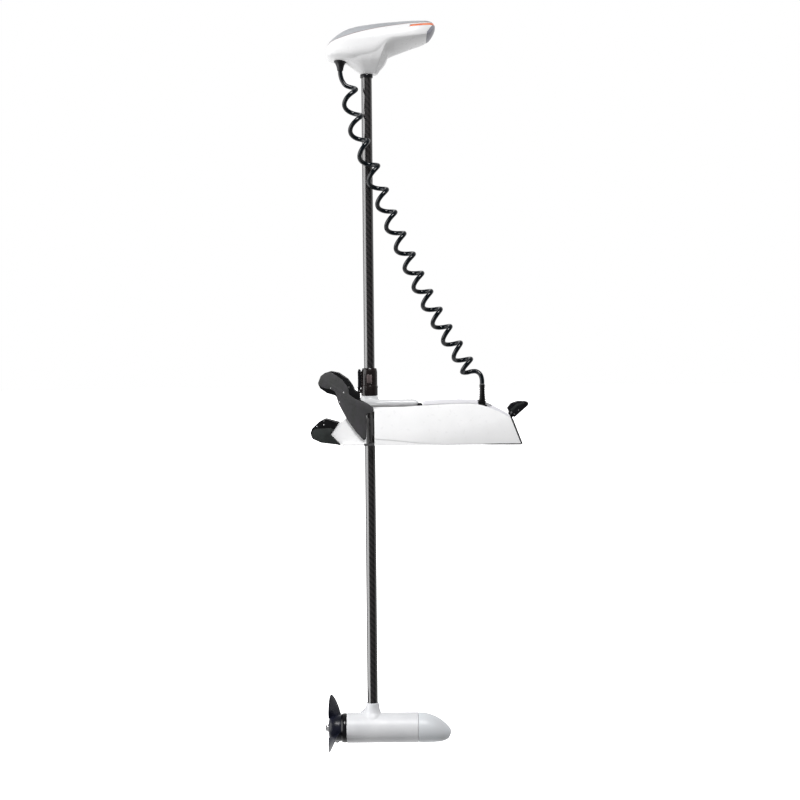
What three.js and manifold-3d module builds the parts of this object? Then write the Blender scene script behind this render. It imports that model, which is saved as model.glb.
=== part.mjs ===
// A bow-mount electric trolling motor: control head, carbon shaft, steering unit on a tilting
// deck mount, and a submersible motor with its propeller. Millimetres, +Z up. The origin is the
// centre of the mount's underside, +X points inboard along the deck.
import * as THREE from 'three';
import { mergeVertices } from 'three/addons/utils/BufferGeometryUtils.js';
import Module from 'manifold-3d';

const wasm = await Module();
wasm.setup();

// ---- driving dimensions -------------------------------------------------------------------
const GAP = 0.3; // clearance left between touching pieces
const SHAFT_X = -225; // shaft axis, measured from the mount's centre

const SHAFT_R = 15.5;
const SHAFT_BORE = 12.5;
const SHAFT_TOP = 1108;
const SHAFT_BOTTOM = -775.5;

const MOTOR_Z = -821; // axis of the submersible motor
const MOTOR_R = 43.5;
const MOTOR_BORE = 40;
const MOTOR_SIDES = 32;
const MOTOR_REAR = -75; // rear end of the motor tube, from the shaft axis
const MOTOR_FRONT = 133;
const PROP_R = 97;
const PROP_BLADES = 3;
const PROP_HUB_R = 38;
const PROP_REAR = -129;
const PROP_FRONT = -91.5;
const ARBOR_R = 5;
const DRIVE_PIN_X = -96;

const WALL_Y = 62; // outer face of the mount's side walls
const WALL = 4;
const FLOOR = 6;
const ARM_Y = 38; // inner face of the front arms, clear of the shaft and collar
const ARM_OUT_Y = 50;

const PIVOT = { x: 76, z: 96, r: 8 }; // tilt pin
const HOUSING_Z = 98; // underside of the gear case round the shaft
const COVER_Z = 111; // split between gear case and its cover
const COVER_TOP = 132;
const NECK_TOP = 142.7;
const HOUSING_REAR = 148;
const HOUSING_HALF = 50;
const HOUSING_NOSE_R = 30; // rounded front lobe about the shaft

const GEAR = { teeth: 30, pitch: 25, low: 104, high: 117 };
const PINION = { teeth: 12, pitch: 10, x: 35 };
const SLEEVE_BORE = SHAFT_R + GAP;
const SLEEVE_R = 20;
const BUSH_R = 24;
const GEAR_ROOM = 27.6; // radius of the pocket round the gear
const PINION_ROOM = 12.6;

const COLLAR = { low: 143, high: 223, r: 22.8, bandR: 24.3, bandTop: 172 };
const CAM_PIN = { x: -30, z: 157, r: 2.2 };

const LEVER_PIN = { x: 409, z: 91, r: 3 };
const LATCH_Z = 40;
const POWER_GLAND = { x: 380, z: 34 };

const CORD_R = 5.8;
const COIL_TOP_R = 30; // outer radius of the loose upper turns
const COIL_R = 25;
const GLAND = { x: -75, y: -20, low: 1096 };
const RELIEF = { x: 328, y: -28, low: 127.5, high: 174 }; // clear of the stowed shaft

// ---- helpers ------------------------------------------------------------------------------
const ring = (sides, point) => (
  Array.from({ length: sides }, (_, i) => point((i / sides) * 2 * Math.PI))
);

function signedVolume(positions, index) {
  const corner = (i) => new THREE.Vector3().fromArray(positions, 3 * index[i]);
  let six = 0;
  for (let i = 0; i < index.length; i += 3) {
    six += corner(i).dot(corner(i + 1).cross(corner(i + 2)));
  }
  return six / 6;
}

// One closed body: shared vertices merged, faces turned outwards.
function closed(geometry) {
  const bare = geometry.clone();
  bare.deleteAttribute('normal');
  bare.deleteAttribute('uv');
  const merged = mergeVertices(bare, 1e-4);
  const positions = merged.getAttribute('position').array;
  const corners = merged.index.array;
  const index = [];
  for (let i = 0; i < corners.length; i += 3) {
    const [a, b, c] = corners.slice(i, i + 3);
    if (a !== b && b !== c && c !== a) index.push(a, b, c);
  }
  if (signedVolume(positions, index) < 0) index.reverse();
  merged.setIndex(index);
  return merged;
}

function solid(geometry) {
  const body = closed(geometry);
  const vertProperties = Float32Array.from(body.getAttribute('position').array);
  const triVerts = Uint32Array.from(body.index.array);
  return new wasm.Manifold(new wasm.Mesh({ numProp: 3, vertProperties, triVerts }));
}

function geometryOf(manifold) {
  const mesh = manifold.getMesh();
  const geometry = new THREE.BufferGeometry();
  geometry.setAttribute('position', new THREE.BufferAttribute(Float32Array.from(mesh.vertProperties), 3));
  geometry.setIndex(Array.from(mesh.triVerts));
  return geometry;
}

const join = (first, ...rest) => geometryOf(rest.reduce((sum, g) => sum.add(solid(g)), solid(first)));
const cut = (first, ...rest) => geometryOf(rest.reduce((sum, g) => sum.subtract(solid(g)), solid(first)));
const meet = (a, b) => geometryOf(solid(a).intersect(solid(b)));

const outline = (points) => new THREE.Shape(points.map(([a, b]) => new THREE.Vector2(a, b)));
const extruded = (points, depth) => (
  new THREE.ExtrudeGeometry(outline(points), { depth, bevelEnabled: false })
);

// A plate with an outline in x and y, between two heights.
function flatPlate(points, zLow, zHigh) {
  return extruded(points, zHigh - zLow).translate(0, 0, zLow);
}

// A plate with an outline in x and z, between two values of y.
function sidePlate(points, yLow, yHigh) {
  return extruded(points, yHigh - yLow).rotateX(Math.PI / 2).translate(0, yHigh, 0);
}

function block(xLow, xHigh, yLow, yHigh, zLow, zHigh) {
  const geometry = new THREE.BoxGeometry(xHigh - xLow, yHigh - yLow, zHigh - zLow);
  return geometry.translate((xLow + xHigh) / 2, (yLow + yHigh) / 2, (zLow + zHigh) / 2);
}

// Turned pieces: profile points are [radius, distance along the axis].
const lathe = (profile, sides) => (
  new THREE.LatheGeometry(profile.map(([r, a]) => new THREE.Vector2(r, a)), sides)
);
const turnedZ = (profile, sides = 24) => lathe(profile, sides).rotateX(Math.PI / 2);
const turnedX = (profile, sides = 24) => lathe(profile, sides).rotateZ(-Math.PI / 2);
const turnedY = (profile, sides = 24) => lathe(profile, sides);
const barProfile = (r, low, high) => [[0, low], [r, low], [r, high], [0, high]];
const tubeProfile = (inner, outer, low, high) => [
  [inner, low], [outer, low], [outer, high], [inner, high], [inner, low],
];

// A body through rings of points, closed at both ends.
function loft(rings) {
  const sides = rings[0].length;
  const points = rings.flat();
  const index = [];
  for (let k = 0; k + 1 < rings.length; k += 1) {
    for (let i = 0; i < sides; i += 1) {
      const [a, b] = [k * sides + i, k * sides + ((i + 1) % sides)];
      index.push(a, b, b + sides, a, b + sides, a + sides);
    }
  }
  const last = (rings.length - 1) * sides;
  for (let i = 1; i + 1 < sides; i += 1) index.push(0, i + 1, i, last, last + i, last + i + 1);
  const geometry = new THREE.BufferGeometry();
  geometry.setAttribute('position', new THREE.Float32BufferAttribute(points.flat(), 3));
  geometry.setIndex(index);
  return geometry;
}

const squareness = (value, power) => Math.sign(value) * Math.abs(value) ** (2 / power);

// Sections along x, each [x, top, bottom, half width], with rounded-square outlines.
function hullAlongX(sections, power, sides = 24) {
  return loft(sections.map(([x, top, bottom, half]) => ring(sides, (t) => [
    x,
    half * squareness(Math.cos(t), power),
    (top + bottom) / 2 + ((top - bottom) / 2) * squareness(Math.sin(t), power),
  ])));
}

// ---- control head -------------------------------------------------------------------------
// [x, top, bottom, half width] from the tail to the nose.
const HEAD = [
  [-118, 1138, 1124, 24], [-112, 1156, 1116, 42], [-99, 1175, 1111, 56], [-65, 1200, 1105, 70],
  [-33, 1211, 1104, 77], [18, 1219, 1107, 80], [69, 1224, 1122, 78], [121, 1228, 1141, 70],
  [161, 1229.5, 1155, 59], [180, 1229, 1166, 49], [192, 1224, 1182, 38], [199, 1212, 1198, 20],
];
// The seam between the white shell and the grey top cover, in x and z.
const SEAM = [
  [-130, 1150], [-99, 1173], [-59, 1188], [-7, 1203], [43, 1212], [95, 1220], [147, 1224], [215, 1226],
];
const HEAD_WALL = 3.5;
const HEAD_SQUARENESS = 2.6; // 2 is an ellipse, higher is squarer
const HEAD_MID_X = 40;
const HEAD_HALF_LENGTH = 150;
const BOARD_Z = 1150;

function headHull(inset) {
  return hullAlongX(
    HEAD.map(([x, top, bottom, half]) => [
      HEAD_MID_X + (x - HEAD_MID_X) * (1 - inset / HEAD_HALF_LENGTH),
      top - inset, bottom + inset, half - inset,
    ]),
    HEAD_SQUARENESS,
  );
}

function aboveSeam(lift) {
  const edge = SEAM.map(([x, z]) => [x, z + lift]);
  return sidePlate([...edge, [215, 1300], [-130, 1300]], -100, 100);
}

function neck() {
  // [z, centre x, half length, half width]
  const levels = [[1072, 5, 22, 20], [1084, 3, 34, 30], [1096, 0, 46, 40], [1113, 0, 62, 54]];
  return loft(levels.map(([z, middle, along, across]) => (
    ring(20, (t) => [middle + along * Math.cos(t), across * Math.sin(t), z])
  )));
}

const NOSE_CUT = [[186, 1260], [167, 1150], [167, 1100], [230, 1100], [230, 1260]];
// The indicator strip runs round the nose just under the seam and tapers towards the tail.
const stripBand = (grow) => sidePlate([
  [116 - 3 * grow, 1240], [116 - 3 * grow, 1220.5], [190, 1216.5 - grow], [215, 1216 - grow], [215, 1240],
], -100, 100);

function headShell() {
  const boardRests = [[-40, 1106], [80, 1126]].map(([x, low]) => (
    block(x - 2, x + 2, -20, 20, low, BOARD_Z - 0.4)
  ));
  const body = cut(join(headHull(0), neck()), headHull(HEAD_WALL));
  const ribbed = join(body, ...boardRests);
  const shaftHole = turnedZ(barProfile(SLEEVE_BORE, 1060, 1125));
  const noseSide = sidePlate(NOSE_CUT.map(([x, z]) => [x - GAP, z]), -100, 100);
  const glandSeat = turnedZ(barProfile(18 + GAP, 1080, 1108.8)).translate(GLAND.x, GLAND.y, 0);
  const glandHole = turnedZ(barProfile(9 + GAP, 1080, 1120)).translate(GLAND.x, GLAND.y, 0);
  return cut(ribbed, shaftHole, glandSeat, glandHole, aboveSeam(-GAP / 2), noseSide, stripBand(GAP));
}

const headCover = () => cut(meet(headHull(0), aboveSeam(GAP / 2)), headHull(HEAD_WALL));

function noseCap() {
  const tip = meet(headHull(0), sidePlate(NOSE_CUT, -100, 100));
  return cut(tip, headHull(HEAD_WALL), aboveSeam(-GAP / 2), stripBand(GAP));
}

const indicatorStrip = () => cut(meet(headHull(0), stripBand(0)), headHull(2), aboveSeam(-GAP / 2));

// Square parts standing on a circuit board, each [x, y, size, height].
const chips = (parts, top) => parts.map(([x, y, size, height]) => (
  block(x, x + size, y - size / 2, y + size / 2, top - 1, top + height)
));

function headBoard() {
  const board = block(-62, 112, -42, 42, BOARD_Z, BOARD_Z + 2);
  return join(board, ...chips([[-40, -20, 22, 5], [20, 15, 28, 4], [-10, 24, 16, 8]], BOARD_Z + 2));
}

const gpsAntenna = () => block(64, 100, -18, 18, BOARD_Z + 2 + GAP, BOARD_Z + 10);

function cordGland() {
  const profile = [
    [0, GLAND.low + GAP], [8, GLAND.low + GAP], [10, 1101], [17, 1104.5], [18, 1108.5], [9, 1108.5],
    [9, 1112], [0, 1112],
  ];
  return turnedZ(profile).translate(GLAND.x, GLAND.y, 0);
}

// ---- shaft --------------------------------------------------------------------------------
const shaftTube = () => turnedZ(tubeProfile(SHAFT_BORE, SHAFT_R, SHAFT_BOTTOM, SHAFT_TOP));
const motorLeads = () => turnedZ(barProfile(4, -781, 1125), 12);
const shaftFerrule = () => turnedZ([
  [SLEEVE_BORE, 1062], [17.4, 1062], [18.4, 1064], [18.4, 1071.7], [SLEEVE_BORE, 1071.7],
  [SLEEVE_BORE, 1062],
]);

// ---- submersible motor --------------------------------------------------------------------
const onMotorAxis = (geometry) => geometry.translate(0, 0, MOTOR_Z);

function motorHousing() {
  const tube = onMotorAxis(turnedX(barProfile(MOTOR_R, MOTOR_REAR, MOTOR_FRONT), MOTOR_SIDES));
  const socket = turnedZ([
    [0, -800], [31, -800], [29, -786], [24, -778], [20, -764], [18.6, -748], [0, -748],
  ]);
  const gusset = sidePlate([[-12, -752], [-38, -777], [-44, -786], [0, -790]], -6, 6);
  const bore = onMotorAxis(turnedX(barProfile(MOTOR_BORE, MOTOR_REAR - 5, MOTOR_FRONT + 5), MOTOR_SIDES));
  const shaftSeat = turnedZ(barProfile(SLEEVE_BORE, SHAFT_BOTTOM - GAP, -740));
  const leadHole = turnedZ(barProfile(8, -795, -770), 16);
  return cut(join(tube, socket, gusset), bore, shaftSeat, leadHole);
}

function noseCone() {
  const sections = [
    [MOTOR_FRONT + GAP, -777.5, -864.5, 43.5], [158, -780.5, -864.5, 42.5], [182, -789, -864, 38.5],
    [200, -799.5, -862, 32], [213, -811, -858, 24], [222, -820, -851, 15], [227, -828, -840, 6],
  ];
  return hullAlongX(sections, 2, MOTOR_SIDES);
}

function rearEndBell() {
  const profile = [
    [14.3, -75.3], [39.5, -75.3], [42.5, -77], [42.5, -85], [39, -91], [13, -91], [13, -86.3],
    [14.3, -86.3], [14.3, -75.3],
  ];
  return onMotorAxis(turnedX(profile));
}

function frontEndBell() {
  const profile = [
    [12.3, 108], [39.6, 108], [39.6, 116], [16, 118], [16, 122], [8, 122], [8, 118.3],
    [12.3, 118.3], [12.3, 108],
  ];
  return onMotorAxis(turnedX(profile));
}

const roundArbor = (outer, low, high) => (
  onMotorAxis(turnedX(tubeProfile(ARBOR_R + GAP, outer, low, high)))
);

function magnet(side) {
  const [inner, outer, spread, steps] = [31, 39.6, 1.25, 12];
  const arc = (r, from, to) => Array.from({ length: steps + 1 }, (_, i) => {
    const angle = from + ((to - from) * i) / steps;
    return [r * Math.sin(angle), side * r * Math.cos(angle)];
  });
  const points = [...arc(outer, -spread, spread), ...arc(inner, spread, -spread)];
  // outline x becomes y, outline y becomes z, and the length runs along x from the rear end
  const rearEnd = -35;
  const basis = new THREE.Matrix4().set(0, 0, 1, rearEnd, 1, 0, 0, 0, 0, 1, 0, MOTOR_Z, 0, 0, 0, 1);
  return extruded(points, 100).applyMatrix4(basis);
}

const throughBolt = (side) => turnedX([[0, -74.8], [2.4, -74.8], [2.4, 107.7], [0, 107.7]], 12)
  .translate(0, side * 35.5, MOTOR_Z);

function brushPlate() {
  const plate = onMotorAxis(turnedX(tubeProfile(16, 31, 86, 91)));
  const holders = [MOTOR_Z + 22, MOTOR_Z - 22].map((z) => block(78, 87, -5, 5, z - 6, z + 6));
  return join(plate, ...holders);
}

// Everything that turns with the propeller.
const motorShaft = () => cut(
  onMotorAxis(turnedX([[0, -138], [4, -138], [ARBOR_R, -137], [ARBOR_R, 117.5], [0, 117.5]], 20)),
  turnedY(barProfile(2 + GAP, -20, 20), 12).translate(DRIVE_PIN_X, 0, MOTOR_Z),
);

function armature() {
  const slots = ring(12, (t) => [
    [28, t - 0.21], [28, t + 0.12], [21, t + 0.14], [21, t + 0.28],
  ]).flat().map(([r, t]) => [r * Math.cos(t), r * Math.sin(t)]);
  const core = extruded(slots, 84).rotateY(Math.PI / 2).translate(-27, 0, MOTOR_Z);
  return cut(core, onMotorAxis(turnedX(barProfile(ARBOR_R + GAP, -40, 70), 20)));
}

const commutator = () => onMotorAxis(turnedX([
  [ARBOR_R + GAP, 58], [14, 58], [14, 61], [11, 63], [11, 76], [ARBOR_R + GAP, 76],
  [ARBOR_R + GAP, 58],
]));

function blade(turn) {
  // [radius, chord, pitch angle, thickness, middle of the chord along x]
  const stations = [
    [34, 44, 0.95, 6, -110], [46, 52, 0.72, 5.2, -111.5], [58, 56, 0.58, 4.4, -113],
    [70, 53, 0.5, 3.8, -115], [81, 44, 0.45, 3.2, -117], [90, 30, 0.42, 2.6, -119],
    [PROP_R, 10, 0.4, 1.6, -120.5],
  ];
  const rings = stations.map(([r, chord, pitch, thick, middle]) => ring(10, (t) => {
    const along = (chord / 2) * Math.cos(t);
    const off = (thick / 2) * Math.sin(t);
    const x = middle + along * Math.sin(pitch) + off * Math.cos(pitch);
    const around = along * Math.cos(pitch) - off * Math.sin(pitch);
    const angle = turn + around / r;
    return [x, r * Math.sin(angle), MOTOR_Z + r * Math.cos(angle)];
  }));
  return loft(rings);
}

function propeller() {
  const hub = onMotorAxis(turnedX([
    [0, PROP_REAR + 1], [20, PROP_REAR + 1], [30, PROP_REAR + 3], [36, PROP_REAR + 9],
    [PROP_HUB_R, PROP_REAR + 20], [PROP_HUB_R, PROP_FRONT], [0, PROP_FRONT],
  ], 28));
  const blades = Array.from({ length: PROP_BLADES }, (_, i) => blade((i * 2 * Math.PI) / PROP_BLADES));
  const bore = onMotorAxis(turnedX(barProfile(ARBOR_R + GAP, -140, -80), 20));
  const pinSlot = block(-99.6, PROP_FRONT + 5, -14.4, 14.4, MOTOR_Z - 2.4, MOTOR_Z + 2.4);
  return cut(join(hub, ...blades), bore, pinSlot);
}

const drivePin = () => turnedY(barProfile(2, -14, 14), 12).translate(DRIVE_PIN_X, 0, MOTOR_Z);

function propNut() {
  const hexagon = ring(6, (t) => [10 * Math.cos(t), 10 * Math.sin(t)]);
  const nut = extruded(hexagon, 7).rotateY(Math.PI / 2).translate(-136.5, 0, MOTOR_Z);
  const washer = onMotorAxis(turnedX(barProfile(13, -129.8, PROP_REAR + 1 - GAP)));
  return cut(join(nut, washer), onMotorAxis(turnedX(barProfile(ARBOR_R + GAP, -140, -80), 20)));
}

// ---- steering unit ------------------------------------------------------------------------
function gearOutline({ teeth, pitch }, phase) {
  const [tip, root] = [pitch + 1.2, pitch - 1.9];
  const step = (2 * Math.PI) / teeth;
  return Array.from({ length: teeth }, (_, i) => {
    const middle = phase + i * step;
    return [[root, -0.3], [tip, -0.12], [tip, 0.12], [root, 0.3]].map(([r, f]) => [
      r * Math.cos(middle + f * step), r * Math.sin(middle + f * step),
    ]);
  }).flat();
}

const steeringGear = () => cut(
  flatPlate(gearOutline(GEAR, 0), GEAR.low, GEAR.high),
  turnedZ(barProfile(SLEEVE_R + GAP, GEAR.low - 5, GEAR.high + 5)),
);

function steeringPinion() {
  const halfTooth = Math.PI / PINION.teeth;
  const wheel = flatPlate(gearOutline(PINION, halfTooth), GEAR.low, GEAR.high);
  const stub = turnedZ(barProfile(4, 101, 105), 16);
  return join(wheel, stub).translate(PINION.x, 0, 0);
}

const hubSleeve = () => turnedZ(tubeProfile(SLEEVE_BORE, SLEEVE_R, HOUSING_Z + 1, NECK_TOP));
const bush = (low, high) => turnedZ(tubeProfile(SLEEVE_R + GAP, BUSH_R, low, high));

function housingFootprint(grow) {
  const r = HOUSING_NOSE_R + grow;
  const front = Array.from({ length: 13 }, (_, i) => {
    const angle = Math.PI / 2 + (Math.PI * i) / 12;
    return [r * Math.cos(angle), r * Math.sin(angle)];
  });
  const y = HOUSING_HALF;
  return [...front, [16, -r], [30, -y], [HOUSING_REAR, -y], [HOUSING_REAR, y], [30, y], [16, r]];
}

function steeringHousing() {
  const gearCase = flatPlate(housingFootprint(0), HOUSING_Z, COVER_Z);
  const motorCase = sidePlate([
    [16, 28], [58, 24], [70, 50], [HOUSING_REAR - 8, 62], [HOUSING_REAR, 75], [HOUSING_REAR, 100],
    [16, 100],
  ], -30, 30);
  const shoulders = sidePlate([
    [40, 78], [HOUSING_REAR - 4, 78], [HOUSING_REAR, 84], [HOUSING_REAR, 100], [40, 100],
  ], -HOUSING_HALF, HOUSING_HALF);
  return cut(
    join(gearCase, motorCase, shoulders),
    turnedZ(barProfile(BUSH_R + GAP, HOUSING_Z - 5, 103)),
    turnedZ(barProfile(GEAR_ROOM, 102.7, 115)),
    turnedZ(barProfile(PINION_ROOM, 102.7, 115), 20).translate(PINION.x, 0, 0),
    turnedZ(barProfile(16, 32, 100.8)).translate(PINION.x, 0, 0),
    turnedZ(barProfile(4.4, 100, 104), 16).translate(PINION.x, 0, 0),
    turnedZ(barProfile(6, 15, 40), 16).translate(PINION.x, 0, 0),
    turnedY(barProfile(PIVOT.r + GAP, -60, 60)).translate(PIVOT.x, 0, PIVOT.z),
  );
}

function steeringCover() {
  const body = flatPlate(housingFootprint(0), COVER_Z + GAP, 126);
  const crown = sidePlate([
    [0, 120], [HOUSING_REAR, 120], [HOUSING_REAR, 127], [143, COVER_TOP], [30, COVER_TOP],
    [0, COVER_TOP - 1],
  ], -42, 42);
  const shaped = meet(crown, flatPlate(housingFootprint(-1), 110, 140));
  const neckRing = turnedZ([
    [0, 120], [29.5, 120], [29.5, 129], [26.5, 133], [25, 138], [24.5, NECK_TOP], [0, NECK_TOP],
  ]);
  return cut(
    join(body, shaped, neckRing),
    turnedZ(barProfile(SLEEVE_R + GAP, 100, 150)),
    turnedZ(barProfile(BUSH_R + GAP, 100, 127)),
    turnedZ(barProfile(GEAR_ROOM, 100, 118.5)),
    turnedZ(barProfile(PINION_ROOM, 100, 118.5), 20).translate(PINION.x, 0, 0),
  );
}

const STEERING_MOTOR_TOP = 82;
const steeringMotor = () => (
  turnedZ([[0, 33], [12, 33], [14.5, 36], [14.5, STEERING_MOTOR_TOP], [0, STEERING_MOTOR_TOP]])
    .translate(PINION.x, 0, 0)
);

function steeringGearbox() {
  const low = STEERING_MOTOR_TOP + GAP;
  return turnedZ([[0, low], [15, low], [15, 98], [5, 98], [5, 100.4], [0, 100.4]])
    .translate(PINION.x, 0, 0);
}

// ---- depth collar -------------------------------------------------------------------------
function depthCollar() {
  const { low, high, r, bandR, bandTop } = COLLAR;
  const ringBody = turnedZ([
    [SLEEVE_BORE, low], [bandR, low], [bandR, bandTop], [r, bandTop + 2], [r, high - 9], [20.5, high],
    [SLEEVE_BORE, high], [SLEEVE_BORE, low],
  ]);
  const lugs = [[6.5, 10.5], [-10.5, -6.5]].map(([y0, y1]) => block(-34, -21, y0, y1, 151, 163));
  const pinHole = turnedY(barProfile(CAM_PIN.r + GAP, -12, 12), 12).translate(CAM_PIN.x, 0, CAM_PIN.z);
  const inside = turnedZ(barProfile(SLEEVE_BORE, low - 5, high + 5));
  return cut(join(ringBody, ...lugs), inside, pinHole);
}

function collarLever() {
  const { x, z, r } = CAM_PIN;
  const eye = turnedY(barProfile(4.3, -6, 6), 16).translate(x, 0, z);
  const stem = sidePlate([[x - 4.3, z], [x + 4.3, z], [x + 4.3, z + 12], [x - 4.8, z + 12]], -6, 6);
  const grip = sidePlate([
    [-34.8, 167], [-25.6, 167], [-25.6, 216], [-29, 222.5], [-34.5, 221], [-36.5, 214], [-35.5, 190],
  ], -10, 10);
  const hole = turnedY(barProfile(r + GAP, -12, 12), 12).translate(x, 0, z);
  return cut(join(eye, stem, grip), hole);
}

const collarLeverPin = () => (
  turnedY(barProfile(CAM_PIN.r, -10.5, 10.5), 12).translate(CAM_PIN.x, 0, CAM_PIN.z)
);

// ---- deck mount ---------------------------------------------------------------------------
const WALL_TOP = [[334, 110], [276, 119], [150, 114], [24, 107], [14, 104]];
const WALL_END = [[437, 3], [404, 78]];
const WALL_INNER = [[14, 0], [436, 0], ...WALL_END, ...WALL_TOP];
const WALL_SKIN = [[14, 20], [58, 17], [130, 8], [204, 3], ...WALL_END, ...WALL_TOP];
const FRONT_ARM = [[-110.8, 33.4], [-87.4, 67], [-66, 79], [-10, 79], [-10, 2], [-80, 2]];
const BOARD_RAIL_TOP = 58;

// The two values of y of a span that is given outwards from the middle, on one side.
const sideSpan = (side, near, far) => (side > 0 ? [near, far] : [-far, -near]);

function deckChannel() {
  const walls = [1, -1].flatMap((side) => {
    const span = (near, far) => sideSpan(side, near, far);
    return [
      sidePlate(WALL_INNER, ...span(WALL_Y - WALL, WALL_Y - 1.5)),
      sidePlate(WALL_SKIN, ...span(WALL_Y - 2, WALL_Y)),
      turnedY(barProfile(14, ...span(WALL_Y - 11, WALL_Y - 2)), 20).translate(PIVOT.x, 0, PIVOT.z),
      block(-78, 30, ...span(ARM_Y, WALL_Y - 3), 0, FLOOR),
      sidePlate(FRONT_ARM, ...span(ARM_Y, ARM_OUT_Y)),
      block(196, 300, ...span(30, 34), FLOOR - 1, BOARD_RAIL_TOP),
    ];
  });
  const floor = block(24, 432, 3 - WALL_Y, WALL_Y - 3, 0, FLOOR);
  const guide = block(345, 351, -16, 16, FLOOR - 1, 54);
  const pinEnd = WALL_Y - 3 - GAP;
  const pinBore = turnedY(barProfile(PIVOT.r + GAP, -pinEnd, pinEnd)).translate(PIVOT.x, 0, PIVOT.z);
  const latchHole = block(340, 356, -4.5, 4.5, LATCH_Z - 4.5, LATCH_Z + 4.5);
  const glandHole = turnedY(barProfile(8, 50, 70), 16).translate(POWER_GLAND.x, 0, POWER_GLAND.z);
  const deckHoles = [60, 392].flatMap((x) => [36, -36].map((y) => (
    turnedZ(barProfile(3.5, -2, FLOOR + 2), 12).translate(x, y, 0)
  )));
  return cut(join(floor, guide, ...walls), pinBore, latchHole, glandHole, ...deckHoles);
}

function rearCover() {
  const top = [
    [168, 124], [172, 128], [200, 130.5], [276, 131], [318, 128], [346, 117], [396, 90], [404, 81],
  ];
  const under = [[404, 78.6], [334, 110.6], [276, 119.5], [168, 115.4]];
  const body = sidePlate([...top, ...under], -WALL_Y, WALL_Y);
  const inside = [
    [160, 90], [160, 121], [200, 127], [276, 127.5], [316, 124.5], [344, 113.5], [392, 87], [392, 60],
  ];
  const hollow = sidePlate(inside, WALL - WALL_Y, WALL_Y - WALL);
  const reliefHole = turnedZ(barProfile(8.4, 90, 140), 20).translate(RELIEF.x, RELIEF.y, 0);
  return cut(body, hollow, reliefHole);
}

function endCap() {
  const plate = sidePlate([[437.6, 3], [406, 75], [411, 75], [442.5, 3]], 1 - WALL_Y, WALL_Y - 1);
  const ear = sidePlate([
    [407, 73], [411.8, 73], [417.5, 88], [416, 95], [411, 98.5], [405, 97.5], [401.5, 92], [403, 84],
    [404.8, 79],
  ], -8, 8);
  const hole = turnedY(barProfile(LEVER_PIN.r + GAP, -20, 20), 16)
    .translate(LEVER_PIN.x, 0, LEVER_PIN.z);
  const coverEnd = sidePlate([[380, 60], [404.6, 78.2], [404.6, 82], [380, 100]], -100, 100);
  return cut(join(plate, ear), hole, coverEnd);
}

const CRADLE_ARM = [
  [-147, 180], [-139, 201], [-127, 210], [-107, 216], [-89, 212], [-63, 194], [-50, 176],
  [-43, 161], [-28, 151], [-28, 134], [-7, 123], [12, 109], [12, 98], [-8, 91], [-10, 7],
  [-41, 43], [-66, 79], [-88, 121], [-95, 144], [-104, 147], [-121, 152], [-140, 165],
];
const CRADLE_HORN = [
  [-170, 38], [-165, 51], [-144, 71], [-129, 79], [-88, 67.5], [-111.5, 33.4], [-81, 0.5],
  [-92, 4], [-139, 10], [-165, 22],
];

const cradleArm = (side) => sidePlate(CRADLE_ARM, ...sideSpan(side, ARM_OUT_Y + GAP, WALL_Y - 1));
const cradleHorn = (side) => sidePlate(CRADLE_HORN, ...sideSpan(side, ARM_Y, 56));

function tiltPin() {
  const end = WALL_Y - 3.5;
  return turnedY(barProfile(PIVOT.r, -end, end)).translate(PIVOT.x, 0, PIVOT.z);
}

function controlBoard() {
  const top = BOARD_RAIL_TOP + 2.5;
  const board = block(192, 304, -40, 40, BOARD_RAIL_TOP + GAP, top);
  const parts = [[205, -22, 26, 18], [250, -10, 20, 12], [280, 18, 16, 14], [215, 20, 14, 10]];
  return join(board, ...chips(parts, top));
}

function strainRelief() {
  const { x, y, low, high } = RELIEF;
  const ribs = Array.from({ length: 5 }, (_, i) => {
    const z = low + 9 + i * 7;
    const r = 10.8 - i * 0.55;
    return [[r - 1.6, z], [r, z + 2.5], [r - 1.6, z + 5]];
  }).flat();
  const profile = [
    [0, low - 14], [8, low - 14], [8, low + 3.2], [13, low + 3.2], [12, low + 7], ...ribs,
    [7, high - GAP], [0, high - GAP],
  ];
  return turnedZ(profile, 16).translate(x, y, 0);
}

const powerGland = () => (
  turnedY([[0, 56], [7.6, 56], [7.6, 62.4], [13, 62.4], [13, 68], [9, 70], [8, 82], [0, 82]], 20)
    .translate(POWER_GLAND.x, 0, POWER_GLAND.z)
);

// ---- latch --------------------------------------------------------------------------------
function releaseLever() {
  const paddle = sidePlate([
    [396, 107], [409, 121], [430, 127.5], [452, 126.5], [459, 121], [458, 113], [419, 77.5], [410, 80.5],
  ], -20, 20);
  const { x, z, r } = LEVER_PIN;
  return cut(
    paddle,
    turnedY(barProfile(12, -8.6, 8.6), 20).translate(x, 0, z),
    block(390, 426, -8.6, 8.6, 60, z),
    turnedY(barProfile(r + GAP, -22, 22), 16).translate(x, 0, z),
  );
}

const leverPin = () => (
  turnedY(barProfile(LEVER_PIN.r, -19.5, 19.5), 16).translate(LEVER_PIN.x, 0, LEVER_PIN.z)
);

function latchBar() {
  const bar = block(139, 388, -4, 4, LATCH_Z - 4, LATCH_Z + 4);
  const tongue = block(380, 388, -4, 4, LATCH_Z, 68);
  const flange = turnedX(barProfile(11, 296, 299), 20).translate(0, 0, LATCH_Z);
  return join(bar, tongue, flange);
}

function latchSpring() {
  const [turns, radius, wire, from, to] = [5, 9, 1.1, 300.6, 343.4];
  class Helix extends THREE.Curve {
    getPoint(t) {
      const angle = 2 * Math.PI * turns * t;
      const x = from + (to - from) * t;
      return new THREE.Vector3(x, radius * Math.cos(angle), LATCH_Z + radius * Math.sin(angle));
    }
  }
  return along(new Helix(), wire, turns * 9, 5);
}

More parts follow.
